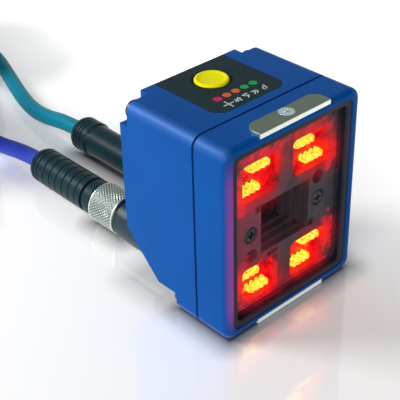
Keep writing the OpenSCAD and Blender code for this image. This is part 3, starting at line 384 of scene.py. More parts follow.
print("wiring steps:", *(step for step in vars(Wiring) if not step.startswith("_")))

# %% [markdown]
# ## Shared surface effects
# Paint, mouldings and rubber all show the same two things up close: a colour that drifts a little, and a
# fine grain that breaks up reflections. Bare metal shows fine lines instead. Each material could have its
# own noise, but one shader group for each of the two keeps them alike.

# %% Shader groups
DRIFT_CONTRAST, DRIFT_OFFSET = 2.2, -0.6
SMEAR_SCALE, SMEAR_HEIGHT = 3.7, 0.3
LINE_SCALE, CLOUD_SCALE, LINE_SHARE, LINE_DARK = 4.0, 90.0, 0.35, (0.05, 0.05, 0.05, 1)
SURFACE_OUTPUTS = {"Color": "Color", "Roughness": "Float", "Height": "Float"}


def new_group(name, inputs, outputs):
    """An empty shader group with inputs and outputs by name and kind, its wiring and both its ends."""
    group = bpy.data.node_groups.new(name, "ShaderNodeTree")
    for side, sockets in (("INPUT", inputs), ("OUTPUT", outputs)):
        for label, kind in sockets.items():
            group.interface.new_socket(label, in_out=side, socket_type=f"NodeSocket{kind}")
    start = group.nodes.new("NodeGroupInput").outputs
    end = group.nodes.new("NodeGroupOutput").inputs
    return group, Wiring(group), start, end


def spread_roughness(w, start, end, texture):
    """Joins a group's roughness, which swings by its spread as a texture does."""
    swing = w.swing(texture, start["Roughness Spread"])
    w.join(w.math("ADD", start["Roughness"], swing, clamp=True), end["Roughness"])


def make_skin_group():
    """Colour that drifts towards a second one by soft noise, roughness that drifts too, and a fine grain."""
    group, w, start, end = new_group("skin", {
        "Color": "Color", "Second Color": "Color", "Drift Scale": "Float", "Grain Scale": "Float",
        "Roughness": "Float", "Roughness Spread": "Float",
    }, SURFACE_OUTPUTS)
    place = w.place()
    drift = w.math("MULTIPLY", w.noise(place, start["Drift Scale"]), DRIFT_CONTRAST)
    second_share = w.math("ADD", drift, DRIFT_OFFSET, clamp=True)
    w.join(w.mix(second_share, start["Color"], start["Second Color"]), end["Color"])
    smear = w.noise(place, w.math("MULTIPLY", start["Drift Scale"], SMEAR_SCALE), 4.0)
    spread_roughness(w, start, end, smear)
    grain = w.noise(place, start["Grain Scale"], 2.0)
    w.join(w.math("ADD", w.math("MULTIPLY", smear, SMEAR_HEIGHT), grain), end["Height"])
    return group


def make_brushed_group():
    """Fine lines along one axis: noise on coordinates that are squeezed across it and stretched along it."""
    group, w, start, end = new_group("brushed", {
        "Color": "Color", "Stretch": "Vector", "Roughness": "Float", "Roughness Spread": "Float",
    }, SURFACE_OUTPUTS)
    place = w.place()
    stretched = w.node("VectorMath", {0: place, 1: start["Stretch"]}, operation="MULTIPLY").outputs[0]
    lines = w.noise(stretched, LINE_SCALE, 4.0)
    cloud = w.noise(place, CLOUD_SCALE)
    darker = w.mix(LINE_SHARE, start["Color"], LINE_DARK)
    w.join(w.mix(w.math("MULTIPLY", lines, cloud), start["Color"], darker), end["Color"])
    spread_roughness(w, start, end, lines)
    w.join(lines, end["Height"])
    return group


skin_group = make_skin_group()
brushed_group = make_brushed_group()
print("groups:", skin_group.name, brushed_group.name)

# %% [markdown]
# A material is a Principled shader with one of the groups in it. What is the same all over a surface, such
# as how metallic it is, is set on the shader itself. What changes over it comes from the group.

# %% Material makers
BLACK, WHITE = (0, 0, 0, 1), (1, 1, 1, 1)
LINE_BUMP = 0.02
DEEPER = 0.85
TURNED = (300.0, 300.0, 300.0)


def linear(red, green, blue):
    """A screen colour (0 to 255) as the linear numbers that shaders count in."""
    c = np.array([red, green, blue]) / 255
    return (*np.where(c <= 0.04045, c / 12.92, ((c + 0.055) / 1.055) ** 2.4), 1.0)


def reopened(material):
    """The wiring and the shader of a material, to add nodes to it."""
    return Wiring(material.node_tree), material.node_tree.nodes["Principled BSDF"]


def new_material(name, **constants):
    """A material with its wiring and shader; constants are set on the shader's own sockets."""
    material = bpy.data.materials.new(name)
    material.use_nodes = True
    w, shader = reopened(material)
    for label, value in constants.items():
        shader.inputs[label.replace("_", " ")].default_value = value
    return material, w, shader


def place_group(w, shader, group, values, bump, bump_distance=0.05):
    """Puts a group into a material and joins its colour, roughness and grain (mm) to the shader."""
    made = w.node("Group", values, node_tree=group).outputs
    w.join(made["Color"], shader.inputs["Base Color"])
    w.join(made["Roughness"], shader.inputs["Roughness"])
    grain = {"Strength": bump, "Distance": bump_distance * MM, "Height": made["Height"]}
    w.join(w.node("Bump", grain).outputs["Normal"], shader.inputs["Normal"])


def skin_material(name, colour, second, roughness, spread=0.1, drift=60.0, grain=2500.0, bump=0.15,
                  **constants):
    """Paint, moulding or rubber: two near colours, a gloss that varies and a fine grain."""
    material, w, shader = new_material(name, **constants)
    place_group(w, shader, skin_group, {
        "Color": linear(*colour), "Second Color": linear(*second), "Drift Scale": drift, "Grain Scale": grain,
        "Roughness": roughness, "Roughness Spread": spread,
    }, bump)
    return material


def brushed_material(name, colour, roughness, stretch=TURNED, spread=0.25, bump=0.1):
    """Bare metal with brushed or turned lines; a stretch that is equal on all axes has no direction."""
    material, w, shader = new_material(name, Metallic=1.0)
    place_group(w, shader, brushed_group, {
        "Color": linear(*colour), "Stretch": stretch, "Roughness": roughness, "Roughness Spread": spread,
    }, bump, LINE_BUMP)
    return material


def deeper(colour):
    """A slightly darker tone of a screen colour."""
    return tuple(int(c * DEEPER) for c in colour)


def recolour(w, shader, share, colour):
    """Lays a screen colour over what the shader's Base Color already gets, by a share."""
    below = shader.inputs["Base Color"].links[0].from_socket
    w.join(w.mix(share, below, linear(*colour)), shader.inputs["Base Color"])


def shine(w, shader, colour, strength):
    """Lets a surface give off light of a colour that changes over it."""
    w.join(colour, shader.inputs["Emission Color"])
    shader.inputs["Emission Strength"].default_value = strength


def paint(material, *pieces):
    """Gives pieces, or CAD nodes by name, one material."""
    for piece in pieces:
        target = nodes[piece] if isinstance(piece, str) else piece
        target.data.materials.clear()
        target.data.materials.append(material)


print("makers ready; a mid grey of 128 is", round(linear(128, 128, 128)[0], 3), "to a shader")

# %% [markdown]
# ## The light behind the window
# Eight bars of small lamps sit two to a corner, and flood every surface near them with red. Real lamps inside
# the case would render slowly and with noise. So one shader group tells a surface how near it is to a bar,
# and the surface shines by that. The corners mirror each other about the optical axis: a place is folded
# into one corner first, and only two bars are measured.

# %% Glow group
def node_points(*names):
    """The points of CAD nodes as one array, in metres."""
    found = []
    for name in names:
        mesh = nodes[name].data
        points = np.empty(3 * len(mesh.vertices), np.float32)
        mesh.vertices.foreach_get("co", points)
        found.append(points.reshape(-1, 3))
    return np.concatenate(found)


def middle(node):
    """The middle of a CAD node's box."""
    return np.mean(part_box(node), axis=0)


AXIS_Z = float(middle("lens_barrel")[2])


def folded_bars():
    """Middle and half size (across, up) of the two light bars of one corner, found in the node's points."""
    points = node_points("led_bars")
    corner = np.column_stack([np.abs(points[:, 0]), np.abs(points[:, 2] - AXIS_Z)])
    split = (corner[:, 1].min() + corner[:, 1].max()) / 2
    rows = [corner[corner[:, 1] > split], corner[corner[:, 1] < split]]
    return [((r.min(0) + r.max(0)) / 2, (r.max(0) - r.min(0)) / 2) for r in rows]


def above_axis(w, axes):
    """How far a place is above or below the optical axis."""
    return w.math("ABSOLUTE", w.math("SUBTRACT", axes["Z"], AXIS_Z))


def make_glow_group():
    """1 on a light bar, falling to 0 at a reach from it; noise frays the edge."""
    inputs = {"Reach": "Float", "Fray": "Float", "Fray Scale": "Float"}
    group, w, start, end = new_group("glow", inputs, {"Near": "Float"})
    axes = w.axes()
    across, up = w.math("ABSOLUTE", axes["X"]), above_axis(w, axes)
    gaps = [w.length(w.beyond(across, centre[0], half[0]), w.beyond(up, centre[1], half[1]))
            for centre, half in folded_bars()]
    fray = w.swing(w.noise(w.place(), start["Fray Scale"]), start["Fray"])
    share = w.math("DIVIDE", w.math("ADD", w.math("MINIMUM", *gaps), fray), start["Reach"])
    w.join(w.math("SUBTRACT", 1.0, share, clamp=True), end["Near"])
    return group


glow_group = make_glow_group()


def glow(w, reach, fray, scale=400.0):
    """The glow group in a material, with its reach and fray in millimetres."""
    values = {"Reach": reach * MM, "Fray": fray * MM, "Fray Scale": scale}
    return w.node("Group", values, node_tree=glow_group).outputs["Near"]


print("light bars at", [np.round(c / MM, 1).tolist() for c, _ in folded_bars()], "mm from the axis")

# %% [markdown]
# ## The case
# The cover and the housing are die-cast and coated in one satin blue. The coat is slightly uneven, and
# handling has polished the long rounded edges to a pale band. Pale paint would stay pale in the dark, so the
# band is a clear coat, which takes its light from the studio.

# %% Case coat
BLUE, BLUE_DEEP = (4, 84, 164), (3, 77, 154)
COAT_SHEEN = {"Metallic": 0.15, "Specular_IOR_Level": 0.08, "Specular_Tint": (0.1, 0.5, 1.0, 1)}
EDGE_POLISH = {"Coat_Roughness": 0.6, "Coat_IOR": 1.45}
EDGE_RADIUS = 3.5 * MM
CASE = ("front_cover", "rear_housing")


def edge_band(w):
    """1 along the middle of the case's four long rounded edges, 0 on its flat sides.

    How far a place is into the rounding is a share of the radius, across and upwards. The band is twice the
    product of both shares, and 1 at most.
    """
    axes = w.axes()
    points = node_points(*CASE)
    low, high = points.min(0), points.max(0)
    band = 2.0
    for i, axis in ((0, "X"), (2, "Z")):
        flat_half = (high[i] - low[i]) / 2 - EDGE_RADIUS
        into = w.beyond(axes[axis], (high[i] + low[i]) / 2, flat_half)
        band = w.math("MULTIPLY", band, w.math("DIVIDE", into, EDGE_RADIUS, clamp=True))
    return w.math("MINIMUM", band, 1.0)


def case_coat(name):
    """The satin blue of the case, with a polish on the long edges that handling leaves there."""
    material = skin_material(name, BLUE, BLUE_DEEP, 0.4, drift=45.0, grain=3200.0, bump=0.1,
                             **COAT_SHEEN, **EDGE_POLISH)
    w, shader = reopened(material)
    w.join(edge_band(w), shader.inputs["Coat Weight"])
    return material


blue_coat = case_coat("blue_coat")
housing = softened("rear_housing", 0.3, 3)
paint(blue_coat, housing)
print(housing.name, "coated")

# %% [markdown]
# The cover is painted a dark slate inside its window frame, which is painted shade in that recess. A painted
# purple glow along the frame's left rim stands for lamp light that leaves through the pane's edge. Both could
# be pieces of their own, but a finish that reads coordinates needs none.

# %% Cover
# Painted shade: dark slate inside the window frame. Painted light: a red-purple glow on the frame's left rim.
FRAME_PAINTED_SHADE = (48, 52, 70)
RIM_PAINTED_GLOW = (0.2, 0.006, 0.06, 1)
RIM_WIDTH, RIM_DEPTH, RIM_FADE = 1.6 * MM, 2 * MM, 9 * MM


def in_window_frame(w, axes):
    """1 behind the gasket's front and within its outline, 0 elsewhere."""
    low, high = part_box("window_gasket")
    inside = w.math("GREATER_THAN", axes["Y"], low[1])
    for axis, near, far in (("X", low[0], high[0]), ("Z", low[2], high[2])):
        inside = w.math("MULTIPLY", inside, w.math("GREATER_THAN", axes[axis], near))
        inside = w.math("MULTIPLY", inside, w.math("LESS_THAN", axes[axis], far))
    return inside


def on_left_rim(w, axes):
    """1 along the window frame's left rim, fading towards the case's side, both ends and the back."""
    low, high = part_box("window_gasket")
    share = w.math("LESS_THAN", axes["X"], low[0] + RIM_DEPTH)
    for axis, start, span in (
        ("X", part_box("front_cover")[0][0], RIM_WIDTH),
        ("Z", low[2], RIM_FADE),
        ("Z", high[2], -RIM_FADE),
        ("Y", low[1] + RIM_DEPTH, -RIM_DEPTH),
    ):
        share = w.math("MULTIPLY", share, w.grown(axes[axis], start, span))
    return share


def cover_material():
    """The blue coat, with painted shade of slate inside the window frame and a painted red glow along its
    left rim.
    """
    material = case_coat("cover_coat")
    w, shader = reopened(material)
    axes = w.axes()
    # Painted shade inside the frame, then a painted glow along its left rim.
    recolour(w, shader, in_window_frame(w, axes), FRAME_PAINTED_SHADE)
    shine(w, shader, w.mix(on_left_rim(w, axes), BLACK, RIM_PAINTED_GLOW), 1.0)
    return material


cover = softened("front_cover")
paint(cover_material(), cover)
seal_rubber = skin_material("seal_rubber", (6, 16, 48), (3, 10, 34), 0.6)
paint(seal_rubber, "cover_seal")
print(cover.name, "coated, with its seal")

# %% [markdown]
# ## Clip plates and screws
# The clip plates are stamped from stainless sheet and brushed along their length. Their edges are given a
# painted highlight of bright steel. A plain countersunk screw holds each one, and blackened case screws sit
# in the corner notches. The solids have the right shapes, so softened copies with a metal finish are enough.

# %% Plates and screws
# A painted highlight: the plates' edges turn bright steel a quarter millimetre in from their outer faces.
HIGHLIGHT_FADE, EDGE_PAINTED_HIGHLIGHT = 0.25 * MM, (236, 240, 234)


def plate_material():
    """Brushed steel, grey on its flat face, with a painted highlight of bright steel on its edges."""
    material = brushed_material("steel_plate", (122, 140, 124), 0.36, (25.0, 700.0, 700.0))
    w, shader = reopened(material)
    height = w.axes()["Z"]
    from_bottom = w.grown(height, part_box("bottom_clip_plate")[0][2], HIGHLIGHT_FADE)
    from_top = w.grown(height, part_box("top_clip_plate")[1][2], -HIGHLIGHT_FADE)
    # Painted highlight on the edges.
    recolour(w, shader, w.math("MINIMUM", from_bottom, from_top), EDGE_PAINTED_HIGHLIGHT)
    return material


plates = [softened("top_clip_plate", 0.22, 3), softened("bottom_clip_plate", 0.22, 3)]
paint(plate_material(), *plates)
screw_steel = brushed_material("screw_steel", (226, 240, 244), 0.24)
paint(screw_steel, softened("clip_screws", 0.08))
black_screw = skin_material("black_screw", (18, 24, 28), (30, 36, 40), 0.32, spread=0.2)
paint(black_screw, softened("case_screws", 0.35, 3), softened("block_screws", 0.25))
print(len(plates), "plates and three kinds of screw dressed")

# %% [markdown]
# ## The control panel
# A dark label field with a yellow button and five lights. A dark gap runs round the button, and its shade is
# painted. It could be cut into the label, but at a millimetre wide a black ring of painted shade in the
# label's material does as well.

# %% Panel and lights
BUTTON_RADIUS, BUTTON_GAP, GAP_PAINTED_SHADE = 5.2 * MM, 1.0 * MM, (5, 9, 12)
LIGHTS = (("red_light", (220, 16, 108)), ("amber_lights", (232, 100, 48)), ("green_lights", (0, 170, 88)))


def panel_material():
    """A fine-grained dark label with a ring of painted black shade round the button, where the gap is."""
    material = skin_material("panel_skin", (22, 48, 54), (18, 42, 48), 0.55, drift=80.0, grain=4000.0,
                             bump=0.2, Specular_IOR_Level=0.1)
    w, shader = reopened(material)
    axes = w.axes()
    x, y, _ = middle("push_button")
    away = w.length(w.math("SUBTRACT", axes["X"], x), w.math("SUBTRACT", axes["Y"], y))
    # Painted shade: a black ring round the button.
    recolour(w, shader, w.math("LESS_THAN", away, BUTTON_RADIUS + BUTTON_GAP), GAP_PAINTED_SHADE)
    return material


paint(panel_material(), softened("control_panel", 0.1))
for light_node, colour in LIGHTS:
    lens_plastic = skin_material(f"{light_node}_lens", colour, deeper(colour), 0.35, Specular_IOR_Level=0.15)
    paint(lens_plastic, softened(light_node, 0.25, 3))
print("panel and", len(LIGHTS), "kinds of light dressed")

# %% [markdown]
# Five small white signs of generic strokes are printed beside the lights. A picture of them could be laid on
# the label, but looks here are worked out, so each stroke is a thin bar that lies on the panel.

# %% Printed signs
SIGN_BEHIND = 4.4
GREEN_MIDDLE = 1.5
SIGNS = (
    [(-1.7, 0, 1.7, 0), (0, -1.7, 0, 1.7)],
    [(-0.9, -0.6, -0.4, 0.7), (-0.4, 0.7, 0.1, -0.6), (-0.9, -0.6, 0.1, -0.6), (0.8, -0.9, 0.8, 0.9),
     (0.4, 0.4, 1.2, 0.4)],
    [(0.9, 1, -0.8, 1), (-0.8, 1, -0.3, 0.1), (-0.3, 0.1, 0.8, 0.1), (0.8, 0.1, -0.2, -1)],
    [(-0.9, 0.8, 0, 0), (0, 0, -0.9, -0.8), (0.1, 0.8, 1, 0), (1, 0, 0.1, -0.8)],
    [(-0.8, -0.4, -0.2, -0.9), (-0.2, -0.9, 0.6, -0.6), (0.6, -0.6, 0.8, 0.2), (0.8, 0.2, 0, 0.6),
     (0, 0.6, -0.8, -0.4), (0.8, 0.2, 0.8, 1.2)],
)


def printed_signs(width=0.36, thickness=0.04):
    """Flat bars on the panel: each stroke runs between two points (mm) and is as wide as the pen.

    The signs stand in the lights' own pitch: the two green lights are one and two steps from the middle.
    """
    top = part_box("control_panel")[1][2] / MM
    row = middle("red_light")[1] / MM - SIGN_BEHIND
    pitch = middle("green_lights")[0] / MM / GREEN_MIDDLE
    offsets = np.concatenate([np.full(len(s), i - 2) for i, s in enumerate(SIGNS)]) * pitch
    strokes = np.concatenate([np.array(s, float) for s in SIGNS])
    start, stop = strokes[:, :2], strokes[:, 2:]
    along = (stop - start) / np.linalg.norm(stop - start, axis=1)[:, None]
    side = np.column_stack([-along[:, 1], along[:, 0]]) * width / 2
    tip = along * width / 2
    flat = np.stack([start - tip - side, stop + tip - side, stop + tip + side, start - tip + side], 1)
    flat += np.column_stack([offsets, np.full(len(offsets), row)])[:, None]
    levels = [np.dstack([flat, np.full(flat.shape[:2], z)]) for z in (top, top + thickness)]
    points = np.concatenate(levels, 1).reshape(-1, 3) * MM
    box_faces = np.array([(3, 2, 1, 0), (4, 5, 6, 7), (0, 1, 5, 4), (1, 2, 6, 5), (2, 3, 7, 6), (3, 0, 4, 7)])
    faces = (box_faces[None] + 8 * np.arange(len(strokes))[:, None, None]).reshape(-1, 4)
    return points, faces


signs = new_piece("panel_signs", *printed_signs())
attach(signs, READER)
paint(skin_material("sign_white", (232, 240, 240), (214, 226, 228), 0.6), signs)
print(len(SIGNS), "signs printed")

# %% [markdown]
# The button is a moulded cap with a shallow dish and a raised rim for the fingertip. As on a lathe, it comes
# from a profile, which runs from the middle of the dish over the rim and down to the flange that keeps the
# cap in the case, and is swung round the button's own axis.

# %% Button cap
FLANGE_UNDER, FLANGE_THICK, STEM_RADIUS = 3.0, 0.9, 1.5


def swung(profile, centre, sides=72):
    """Points and faces of a profile of (radius, height) in mm, swung round +Z through centre (metres)."""
    r, d = np.asarray(profile, float).T * MM
    a = np.arange(sides) * 2 * np.pi / sides
    across, up = r[:, None] * np.cos(a), r[:, None] * np.sin(a)
    height = np.broadcast_to(d[:, None], across.shape)
    points = np.stack([across, up, height], -1).reshape(-1, 3) + centre
    return points, grid_faces(len(r), sides, wrap_columns=True)


def cap_profile(reach, height):
    """(Radius, height from the top) of the cap in mm: its dish, rim, skirt, flange and stem."""
    rim = BUTTON_RADIUS / MM
    return [
        (0, -0.3), (rim - 1.9, -0.28), (rim - 1.3, -0.2), (rim - 0.95, -0.06), (rim - 0.7, 0),
        (rim - 0.45, -0.02), (rim - 0.15, -0.2), (rim, -0.5), (rim, FLANGE_THICK - FLANGE_UNDER),
        (reach, FLANGE_THICK - FLANGE_UNDER), (reach, -FLANGE_UNDER), (STEM_RADIUS, -FLANGE_UNDER),
        (STEM_RADIUS, -height), (0, -height),
    ]


button_low, button_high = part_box("push_button")
button_size = (button_high - button_low) / MM
button_top = np.array([*middle("push_button")[:2], button_high[2]])
cap_points, cap_faces = swung(cap_profile(button_size[0] / 2, button_size[2]), button_top)
button_cap = new_piece("button_cap", cap_points, cap_faces, smooth_angle=50)
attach(button_cap, BUTTON)
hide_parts("push_button")
button_yellow = skin_material("button_yellow", (255, 250, 6), (248, 240, 2), 0.42, drift=120.0, grain=3000.0,
                              bump=0.1, Specular_IOR_Level=0.08)
paint(button_yellow, button_cap)
print("button cap", len(button_cap.data.polygons), "faces")

# %% [markdown]
# ## Behind the window
# The mask is a dark moulding with a square, stepped funnel for the lens and four corner wells for the lamps.
# The red trays in the wells run from orange next to a bar to deep red. All take their light from the glow
# group, each with its own reach.

# %% Lit mouldings
MASK_GLOW = [
    (0.0, BLACK), (0.2, (0.03, 0.001, 0.004, 1)), (0.5, (0.6, 0, 0.004, 1)), (1.0, (1, 0.012, 0, 1)),
]
TRAY_GLOW = [
    (0.0, (0.06, 0, 0.001, 1)), (0.3, (0.6, 0, 0.002, 1)), (0.6, (1, 0.004, 0.001, 1)),
    (0.85, (1, 0.06, 0, 1)), (1.0, (1, 0.32, 0.01, 1)),
]
FACET_SCALE, FACET_SWING, TRAY_SHARE = 330.0, 2.8, 0.65
GASKET_SHARE = 0.24


def lit_material(name, colour, lit, stops, strength):
    """A moulding that is lit from the bars: emission runs through colour stops as the light grows."""
    material = skin_material(name, colour, deeper(colour), 0.45, drift=300.0, Specular_IOR_Level=0.2)
    w, shader = reopened(material)
    shine(w, shader, w.ramp(lit(w), stops), strength)
    return material


def tray_lit(w):
    """Light in patches, as facets of a reflector throw it back."""
    facets = w.swing(w.noise(w.place(), FACET_SCALE), FACET_SWING)
    return w.math("ADD", w.math("MULTIPLY", glow(w, 7.0, 1.0), TRAY_SHARE), facets, clamp=True)


def gasket_lit(w):
    """The lamps' red on the rubber next to them."""
    return w.math("MULTIPLY", glow(w, 11.0, 3.0, 200.0), GASKET_SHARE)


print("trays shine through", len(TRAY_GLOW), "colours")

# %% [markdown]
# Little of that light falls on the mask's front, and much on its margins and in its wells. A picture of it
# could be laid over the moulding, but a finish that reads coordinates stays sharp from any distance.

# %% Mask
SPILL_ON_FRONT, FRONT_SKIN, TRAY_LIP = 0.38, 0.3 * MM, 0.5 * MM
WELL_OUTER, SIDE_MARGIN = 15.5 * MM, 2.5 * MM
WELL_UPPER, END_MARGIN = 22.0 * MM, 5 * MM
LEFT_REACH, LEFT_ROSE, LEFT_PINK = 24 * MM, (124, 58, 72), (0.1, 0.01, 0.025, 1)
# Painted shade: a darker grey in the recesses. Painted lamp light: red near the bars.
RECESS_PAINTED_SHADE, LAMP_PAINTED_RED = (66, 54, 58), (96, 6, 10)


def in_recess(w, axes):
    """1 behind the mask's front face: in its funnel, wells and holes."""
    return w.math("GREATER_THAN", axes["Y"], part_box("light_mask")[0][1] + FRONT_SKIN)


def mask_lit(w):
    """Full light in the wells and on the mask's margins, and a weak spill on the rest of its front."""
    axes = w.axes()
    up = above_axis(w, axes)
    past_side = w.grown(w.math("ABSOLUTE", axes["X"]), WELL_OUTER, SIDE_MARGIN)
    past_end = w.grown(up, WELL_UPPER, END_MARGIN)
    well_start = np.abs(node_points("reflector_trays")[:, 2] - AXIS_Z).min() + TRAY_LIP
    in_well = w.math("MULTIPLY", in_recess(w, axes), w.math("GREATER_THAN", up, well_start))
    full = w.math("MAXIMUM", in_well, w.math("MAXIMUM", past_side, past_end))
    return w.math("MULTIPLY", glow(w, 7.6, 13.0, 300.0), w.from_share(full, SPILL_ON_FRONT))


def mask_material():
    """The lit moulding, with painted lamp light in its colour, pink on its left side and red near the bars,
    and a darker grey of painted shade in its recesses.
    """
    material = lit_material("mask_moulding", (84, 80, 88), mask_lit, MASK_GLOW, 0.9)
    w, shader = reopened(material)
    axes = w.axes()
    leftness = w.grown(axes["X"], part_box("light_mask")[0][0] + LEFT_REACH, -LEFT_REACH)
    # Painted lamp light: pink towards the left and red near the bars. Painted shade: darker grey in the
    # recesses.
    recolour(w, shader, leftness, LEFT_ROSE)
    recolour(w, shader, in_recess(w, axes), RECESS_PAINTED_SHADE)
    recolour(w, shader, glow(w, 7.0, 4.0, 330.0), LAMP_PAINTED_RED)
    lamps = shader.inputs["Emission Color"].links[0].from_socket
    pink = w.mix(leftness, BLACK, LEFT_PINK)
    both = w.node("VectorMath", {0: lamps, 1: pink}, operation="ADD").outputs[0]
    w.join(both, shader.inputs["Emission Color"])
    return material


paint(mask_material(), softened("light_mask", 0.12))
paint(lit_material("gasket_rubber", (28, 33, 48), gasket_lit, MASK_GLOW, 0.6),
      softened("window_gasket", 0.08))
paint(lit_material("tray_red", (150, 6, 8), tray_lit, TRAY_GLOW, 1.0), softened("reflector_trays", 0))
print("mask, gasket and trays lit")

# %% [markdown]
# The pane in front is clear, with a red haze where the lamps shine through it. Refraction would bend and dim
# what is behind for no gain on a flat sheet, so the pane is a coloured film with low Alpha.

# %% Pane
PANE_GREY, PANE_RED, PANE_GLOW = (70, 72, 84), (120, 6, 10), (1, 0.0, 0.004, 1)
CLEAR_ALPHA, HAZE_ALPHA, HAZE_FALL = 0.05, 0.12, 1.6


def pane_material():
    """Clear, slightly grey glass; near the bars a red haze covers what is behind."""
    material, w, shader = new_material("pane_glass", Roughness=0.04, Specular_IOR_Level=0.06)
    near = w.math("POWER", glow(w, 9.0, 4.0, 260.0), HAZE_FALL)
    w.join(w.mix(near, linear(*PANE_GREY), linear(*PANE_RED)), shader.inputs["Base Color"])
    shine(w, shader, w.mix(near, BLACK, PANE_GLOW), 0.9)
    w.join(w.math("ADD", w.math("MULTIPLY", near, HAZE_ALPHA), CLEAR_ALPHA), shader.inputs["Alpha"])
    return material


pane = softened("window_pane", 0.15)
paint(pane_material(), pane)
print(pane.name, "glazed")

# %% [markdown]
# A light bar is a row of small lamps under one strip of clear lens. They make a bright strip with a ragged
# edge, like a comb. Single lamps would be many small meshes. One domed sheet does it, whose width and height
# swell once for each lamp.

# %% Light bars
LAMPS_PER_BAR = 4
LAMP_RISE, LAMP_DROP, STRIP_FOOT = 2.0 * MM, 0.4 * MM, 0.2 * MM
STRIP_ROWS, STRIP_COLUMNS = 81, 13
COMB_GAIN, COMB_CUT, COMB_DIP, DOME_SWELL = 1.6, 0.15, 0.15, 0.2
END_POWER, DOME_POWER = 10, 12


def lamp_strip(centre, half, base, front):
    """A sheet over a bar: t runs along it, s across; the upper edge and the height swell at every lamp.

    The swelling is a squared sine, made larger, lowered and cut off at 0 and 1. High powers of t and s round
    off the ends and give the dome its flat top.
    """
    t = np.linspace(-1, 1, STRIP_ROWS)[:, None]
    s = np.linspace(0, 1, STRIP_COLUMNS)[None, :]
    pulse = np.clip(COMB_GAIN * np.sin(np.pi * LAMPS_PER_BAR * (t + 1) / 2) ** 2 - COMB_CUT, 0, 1)
    ends = np.sqrt(np.clip(1 - t ** END_POWER, 0, 1))
    upper = half[1] * (-COMB_DIP + (1 + COMB_DIP) * pulse) * ends
    lower = -half[1] * ends
    rise = (1 - np.abs(2 * s - 1) ** DOME_POWER) * (1 - DOME_SWELL + DOME_SWELL * pulse) * ends
    x = centre[0] + half[0] * t + 0 * s
    y = base + (front - base) * rise
    z = centre[1] + lower + (upper - lower) * s
    return np.stack([x, y, z], -1).reshape(-1, 3)


def all_strips():
    """Points and faces of every strip in the four corners: a domed front sheet and a shallow one behind."""
    low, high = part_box("led_bars")
    points, faces = [], []
    for centre, half in folded_bars():
        for side_x, side_z in ((-1, -1), (-1, 1), (1, -1), (1, 1)):
            place = (side_x * centre[0], AXIS_Z + side_z * centre[1] - LAMP_DROP)
            for front in (low[1] - LAMP_RISE, high[1]):
                first = len(points) * STRIP_ROWS * STRIP_COLUMNS
                points.append(lamp_strip(place, half, high[1] - STRIP_FOOT, front))
                faces.append(grid_faces(STRIP_ROWS, STRIP_COLUMNS) + first)
    return np.concatenate(points), np.concatenate(faces)


def lamp_material():
    """Yellow light, nearly white in the middle of a lamp and orange where the strip is thin."""
    material, w, shader = new_material("lamp_glow", Roughness=0.25)
    spots = w.noise(w.place(), 1300.0, 2.0)
    plastic = w.ramp(spots, [(0.3, linear(230, 120, 20)), (0.6, linear(250, 230, 90))])
    w.join(plastic, shader.inputs["Base Color"])
    light = [(0.3, (1, 0.34, 0.004, 1)), (0.48, (1, 0.72, 0.02, 1)), (0.62, (1, 0.9, 0.16, 1))]
    shine(w, shader, w.ramp(spots, light), 1.1)
    return material


lamp_bars = new_piece("lamp_bars", *all_strips(), smooth_angle=60)
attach(lamp_bars, READER)
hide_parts("led_bars")
paint(lamp_material(), lamp_bars)
print("light bars", len(lamp_bars.data.polygons), "faces")

# %% [markdown]
# ## Inner pieces
# Boards, spacers, screws, the lens and its frame are plain and mostly hidden. Their solids stay as they are,
# and each kind gets the finish of what it is made of.

# %% Inner pieces
paint(skin_material("black_rubber", (10, 11, 16), (14, 14, 18), 0.6, spread=0.15, Specular_IOR_Level=0.1),
      "block_gasket")
paint(skin_material("mask_screw_black", (34, 34, 40), (46, 46, 54), 0.35, spread=0.2), "mask_screws")
paint(brushed_material("inner_steel", (190, 192, 194), 0.3),
      "control_board_screws", "frame_screws", "stack_screws")
paint(skin_material("lens_black", (18, 18, 22), (26, 26, 30), 0.3),
      "lens_barrel", "image_sensor", "processor_chip", "button_switch")
paint(skin_material("board_green", (10, 62, 36), (8, 50, 30), 0.45, spread=0.2, drift=400.0),
      "control_board", "illuminator_board", "sensor_board", "processor_board")
paint(brushed_material("brass", (200, 160, 76), 0.3),
      "illuminator_standoffs", "front_spacers", "rear_spacers", "power_contacts", "network_contacts")
paint(brushed_material("bare_alloy", (160, 162, 166), 0.4, (60.0, 500.0, 500.0)), "optics_frame")
paint(skin_material("chip_white", (225, 222, 210), (210, 206, 196), 0.5), "status_chips")


def lens_material():
    """Clear glass with the faint purple of a lens coating."""
    material, w, shader = new_material("coated_lens", Roughness=0.03, Transmission_Weight=1.0)
    tint = w.ramp(w.noise(w.place(), 120.0), [(0.35, (0.82, 0.8, 0.95, 1)), (0.65, (0.95, 0.93, 1, 1))])
    w.join(tint, shader.inputs["Base Color"])
    return material


paint(lens_material(), "lens_glass", "pointer_lenses")
print("inner pieces dressed")

# %% [markdown]
# ## Connectors and plugs
# The coupling nuts are turned from brass, nickel plated and knurled for the fingers: two sets of slanted
# grooves leave small diamonds standing. A bump in the material would leave the outline smooth, so the knurl
# is in the mesh: a ring profile swung round the plug's axis, each point as deep as the nearer groove.

# %% Knurled nuts
KNURL_TEETH, KNURL_RISE, KNURL_DEPTH, KNURL_EDGE = 40, 1.5, 0.3, 0.9
NUT_CHAMFER, NUT_BORE, NUT_NECK, NUT_SHOULDER = 0.7, 6.1, 5.2, 10.9
GROOVE_GREY = (64, 84, 78)


def triangle_wave(t):
    """0 at whole numbers, 1 halfway between them, straight in between."""
    return 1 - np.abs(2 * (t - np.floor(t)) - 1)


